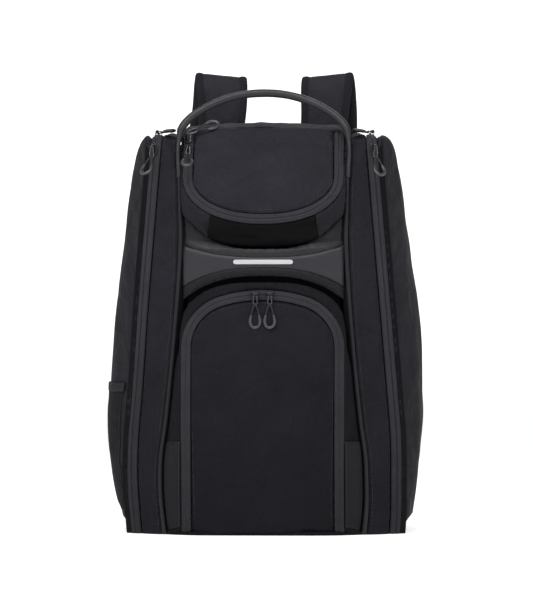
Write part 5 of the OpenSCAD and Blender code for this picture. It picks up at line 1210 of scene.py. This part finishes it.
for z in (466, 471, 495):
    Q = np.stack([np.linspace(-99, 99, 60), np.full(60, back_y + back_t + 5.45), np.full(60, z)], 1); sew("bag_body", Q, [0, 1, 0])
for s in (1, -1):
    slab([[s*a, b] for a, b in [[112, 10], [149, 10], [150, 26], [148, 34], [122, 34]]], 3, "y", back_y + back_t + 0.4, "strap_anchor_tab_" + ("right" if s > 0 else "left"), "black", "bag_body", ["strap_anchor_tabs"] if s > 0 else [], 1.0)
    for a, b in (([124, 14], [146, 14]), ([146, 14], [146, 31]), ([146, 31], [124, 31]), ([124, 31], [124, 14]), ([124, 14], [146, 31]), ([146, 14], [124, 31])):
        Q = np.stack([s*np.linspace(a[0], b[0], 10), np.full(10, 133.3 - 0.2), np.linspace(a[1], b[1], 10)], 1); sew("bag_body", Q, [0, 1, 0])
# back pads: crowned, with sewn channels
def channels(P, zl, depth=3.2, w=3.0):
    P = P.copy(); g = 0
    for z0 in zl: g = g + np.exp(-((P[..., 2] - z0)/w)**2)
    P[..., 1] -= depth*np.minimum(1, g)*smooth((P[..., 1] - back_y - back_t)/6)
    return P
PR = channels(R["pad_right"], [180, 262, 344])
PR = dress(PR, -1, wr=0.35, scale=45, pucker=0.35, pitch=9, roll=0.8, seed=141)
PLm = channels(R["pad_lumbar"], [])
PLm[..., 1] -= 3.0*(np.exp(-((PLm[..., 0] - 52)/3)**2) + np.exp(-((PLm[..., 0] + 52)/3)**2))*smooth((PLm[..., 1] - back_y - back_t)/6)
PLm = dress(PLm, -1, wr=0.35, scale=45, pucker=0.35, pitch=9, roll=0.8, seed=143)
def pad_piece(P, name, mirror=False, rep=()):
    n, m = P.shape[:2]
    N = normals(P)
    out = 1 if N[n//2, m//2, 1] > 0 else -1
    base = P.copy(); base[..., 1] = back_y + back_t + 0.1
    k = n*m; I = np.arange(k).reshape(n, m)
    V = np.concatenate([P.reshape(-1, 3), base.reshape(-1, 3)])
    a, b, c_, d = I[:-1, :-1].ravel(), I[1:, :-1].ravel(), I[1:, 1:].ravel(), I[:-1, 1:].ravel()
    top = np.stack([a, b, c_, d], 1); bot = np.stack([d, c_, b, a], 1) + k
    rims = []
    for line, rev in ((I[:, 0], True), (I[:, -1], False), (I[0, :], False), (I[-1, :], True)):
        p, q = line[:-1], line[1:]; r = np.stack([p, q, q + k, p + k], 1); rims.append(r[:, ::-1] if rev else r)
    F = np.concatenate([top, bot] + rims)
    if out < 0: F = F[:, ::-1]
    uv = arc_uv(P).reshape(-1, 2); D = (V, F, np.concatenate([uv, uv]))
    if mirror: D = mirror_data(D)
    o = put(D, name, "mesh", "bag_body", rep)
    return o
pad_piece(PR, "back_pad_right", rep=["back_pads"]); pad_piece(PR, "back_pad_left", mirror=True); pad_piece(PLm, "back_pad_lumbar")

# ------------------------------------------------------------------ stitching of each body
for body, ds in STITCH.items():
    put(join_any(*ds), body + "_stitching", "stitch", body)

# ------------------------------------------------------------------ camera, floor, light
cam = bpy.data.objects.new("camera", bpy.data.cameras.new("camera"))
scene.collection.objects.link(cam); scene.camera = cam
az = math.radians(2.0)
cam.location = (5.0*math.sin(az), -5.0*math.cos(az), 0.2835)
cam.rotation_euler = (Vector((0, 0, 0.2835)) - cam.location).to_track_quat("-Z", "Y").to_euler()
cam.data.lens = 234.6; cam.data.sensor_width = 36; cam.data.sensor_fit = "AUTO"
cam.data.clip_start, cam.data.clip_end = 0.1, 100

def flat_material(name, col, emit=None):
    N = Nodes(name)
    N.b.inputs["Base Color"].default_value = col; N.b.inputs["Roughness"].default_value = 0.9; N.b.inputs["Specular IOR Level"].default_value = 0.1
    if emit:
        N.b.inputs["Emission Color"].default_value = (1, 1, 1, 1); N.b.inputs["Emission Strength"].default_value = emit
    return N.m
def floor_material():
    """pale matt floor, evenly lit, and a little brighter far from the bag"""
    N = Nodes("m_floor")
    N.b.inputs["Base Color"].default_value = (0.62, 0.62, 0.62, 1); N.b.inputs["Roughness"].default_value = 0.9; N.b.inputs["Specular IOR Level"].default_value = 0.1
    tc = N.n("ShaderNodeTexCoord")
    ln_ = N.n("ShaderNodeVectorMath", operation="LENGTH"); N.l(tc.outputs["Object"], ln_.inputs[0])
    N.b.inputs["Emission Color"].default_value = (1, 1, 1, 1)
    N.l(ramp(N, ln_.outputs["Value"], 1.5, 9.0, 0.72, 0.88), N.b.inputs["Emission Strength"])
    return N.m
me = bpy.data.meshes.new("studio_floor")
prof = [(1.0, 0), (3.0, 0), (6.0, 0), (10.0, 0), (13.5, 0)] + [(13.5 + 1.5*math.sin(a), 1.5*(1 - math.cos(a))) for a in np.linspace(0.15, math.pi/2, 10)] + [(15.0, 2.7)]
nr_ = 96
V = [(0, 0, 0)] + [(r*math.cos(2*math.pi*k/nr_), r*math.sin(2*math.pi*k/nr_), z) for r, z in prof for k in range(nr_)]
F = [(0, 1 + k, 1 + (k + 1) % nr_) for k in range(nr_)]
F += [(1 + i*nr_ + k, 1 + (i + 1)*nr_ + k, 1 + (i + 1)*nr_ + (k + 1) % nr_, 1 + i*nr_ + (k + 1) % nr_) for i in range(len(prof) - 1) for k in range(nr_)]
me.from_pydata(V, [], F); me.update()
floor = bpy.data.objects.new("studio_floor", me); scene.collection.objects.link(floor)
for p in me.polygons: p.use_smooth = True
me.materials.append(floor_material())

world = bpy.data.worlds.new("studio"); scene.world = world; world.use_nodes = True
bg = world.node_tree.nodes["Background"]; bg.inputs[0].default_value = (1, 1, 1, 1); bg.inputs[1].default_value = 0.26
def area(name, loc, target, size, power, col=(1, 1, 1)):
    L = bpy.data.lights.new(name, "AREA"); L.shape = "RECTANGLE"; L.size, L.size_y = size; L.energy = power; L.color = col
    o = bpy.data.objects.new(name, L); scene.collection.objects.link(o); o.location = loc
    o.rotation_euler = (Vector(target) - Vector(loc)).to_track_quat("-Z", "Y").to_euler()
    return o
area("key_top", (-0.35, -1.25, 2.2), (0, 0, 0.42), (1.6, 0.9), 42)
area("fill_left", (-2.2, -1.6, 1.3), (0, 0, 0.3), (1.0, 1.6), 5)
area("fill_right", (2.2, -1.5, 1.3), (0, 0, 0.3), (1.0, 1.6), 11)
area("rim_back", (0.2, 1.7, 1.9), (0, 0, 0.5), (1.8, 1.0), 16)
scene.view_settings.view_transform = "Standard"
scene.view_settings.look = "None"
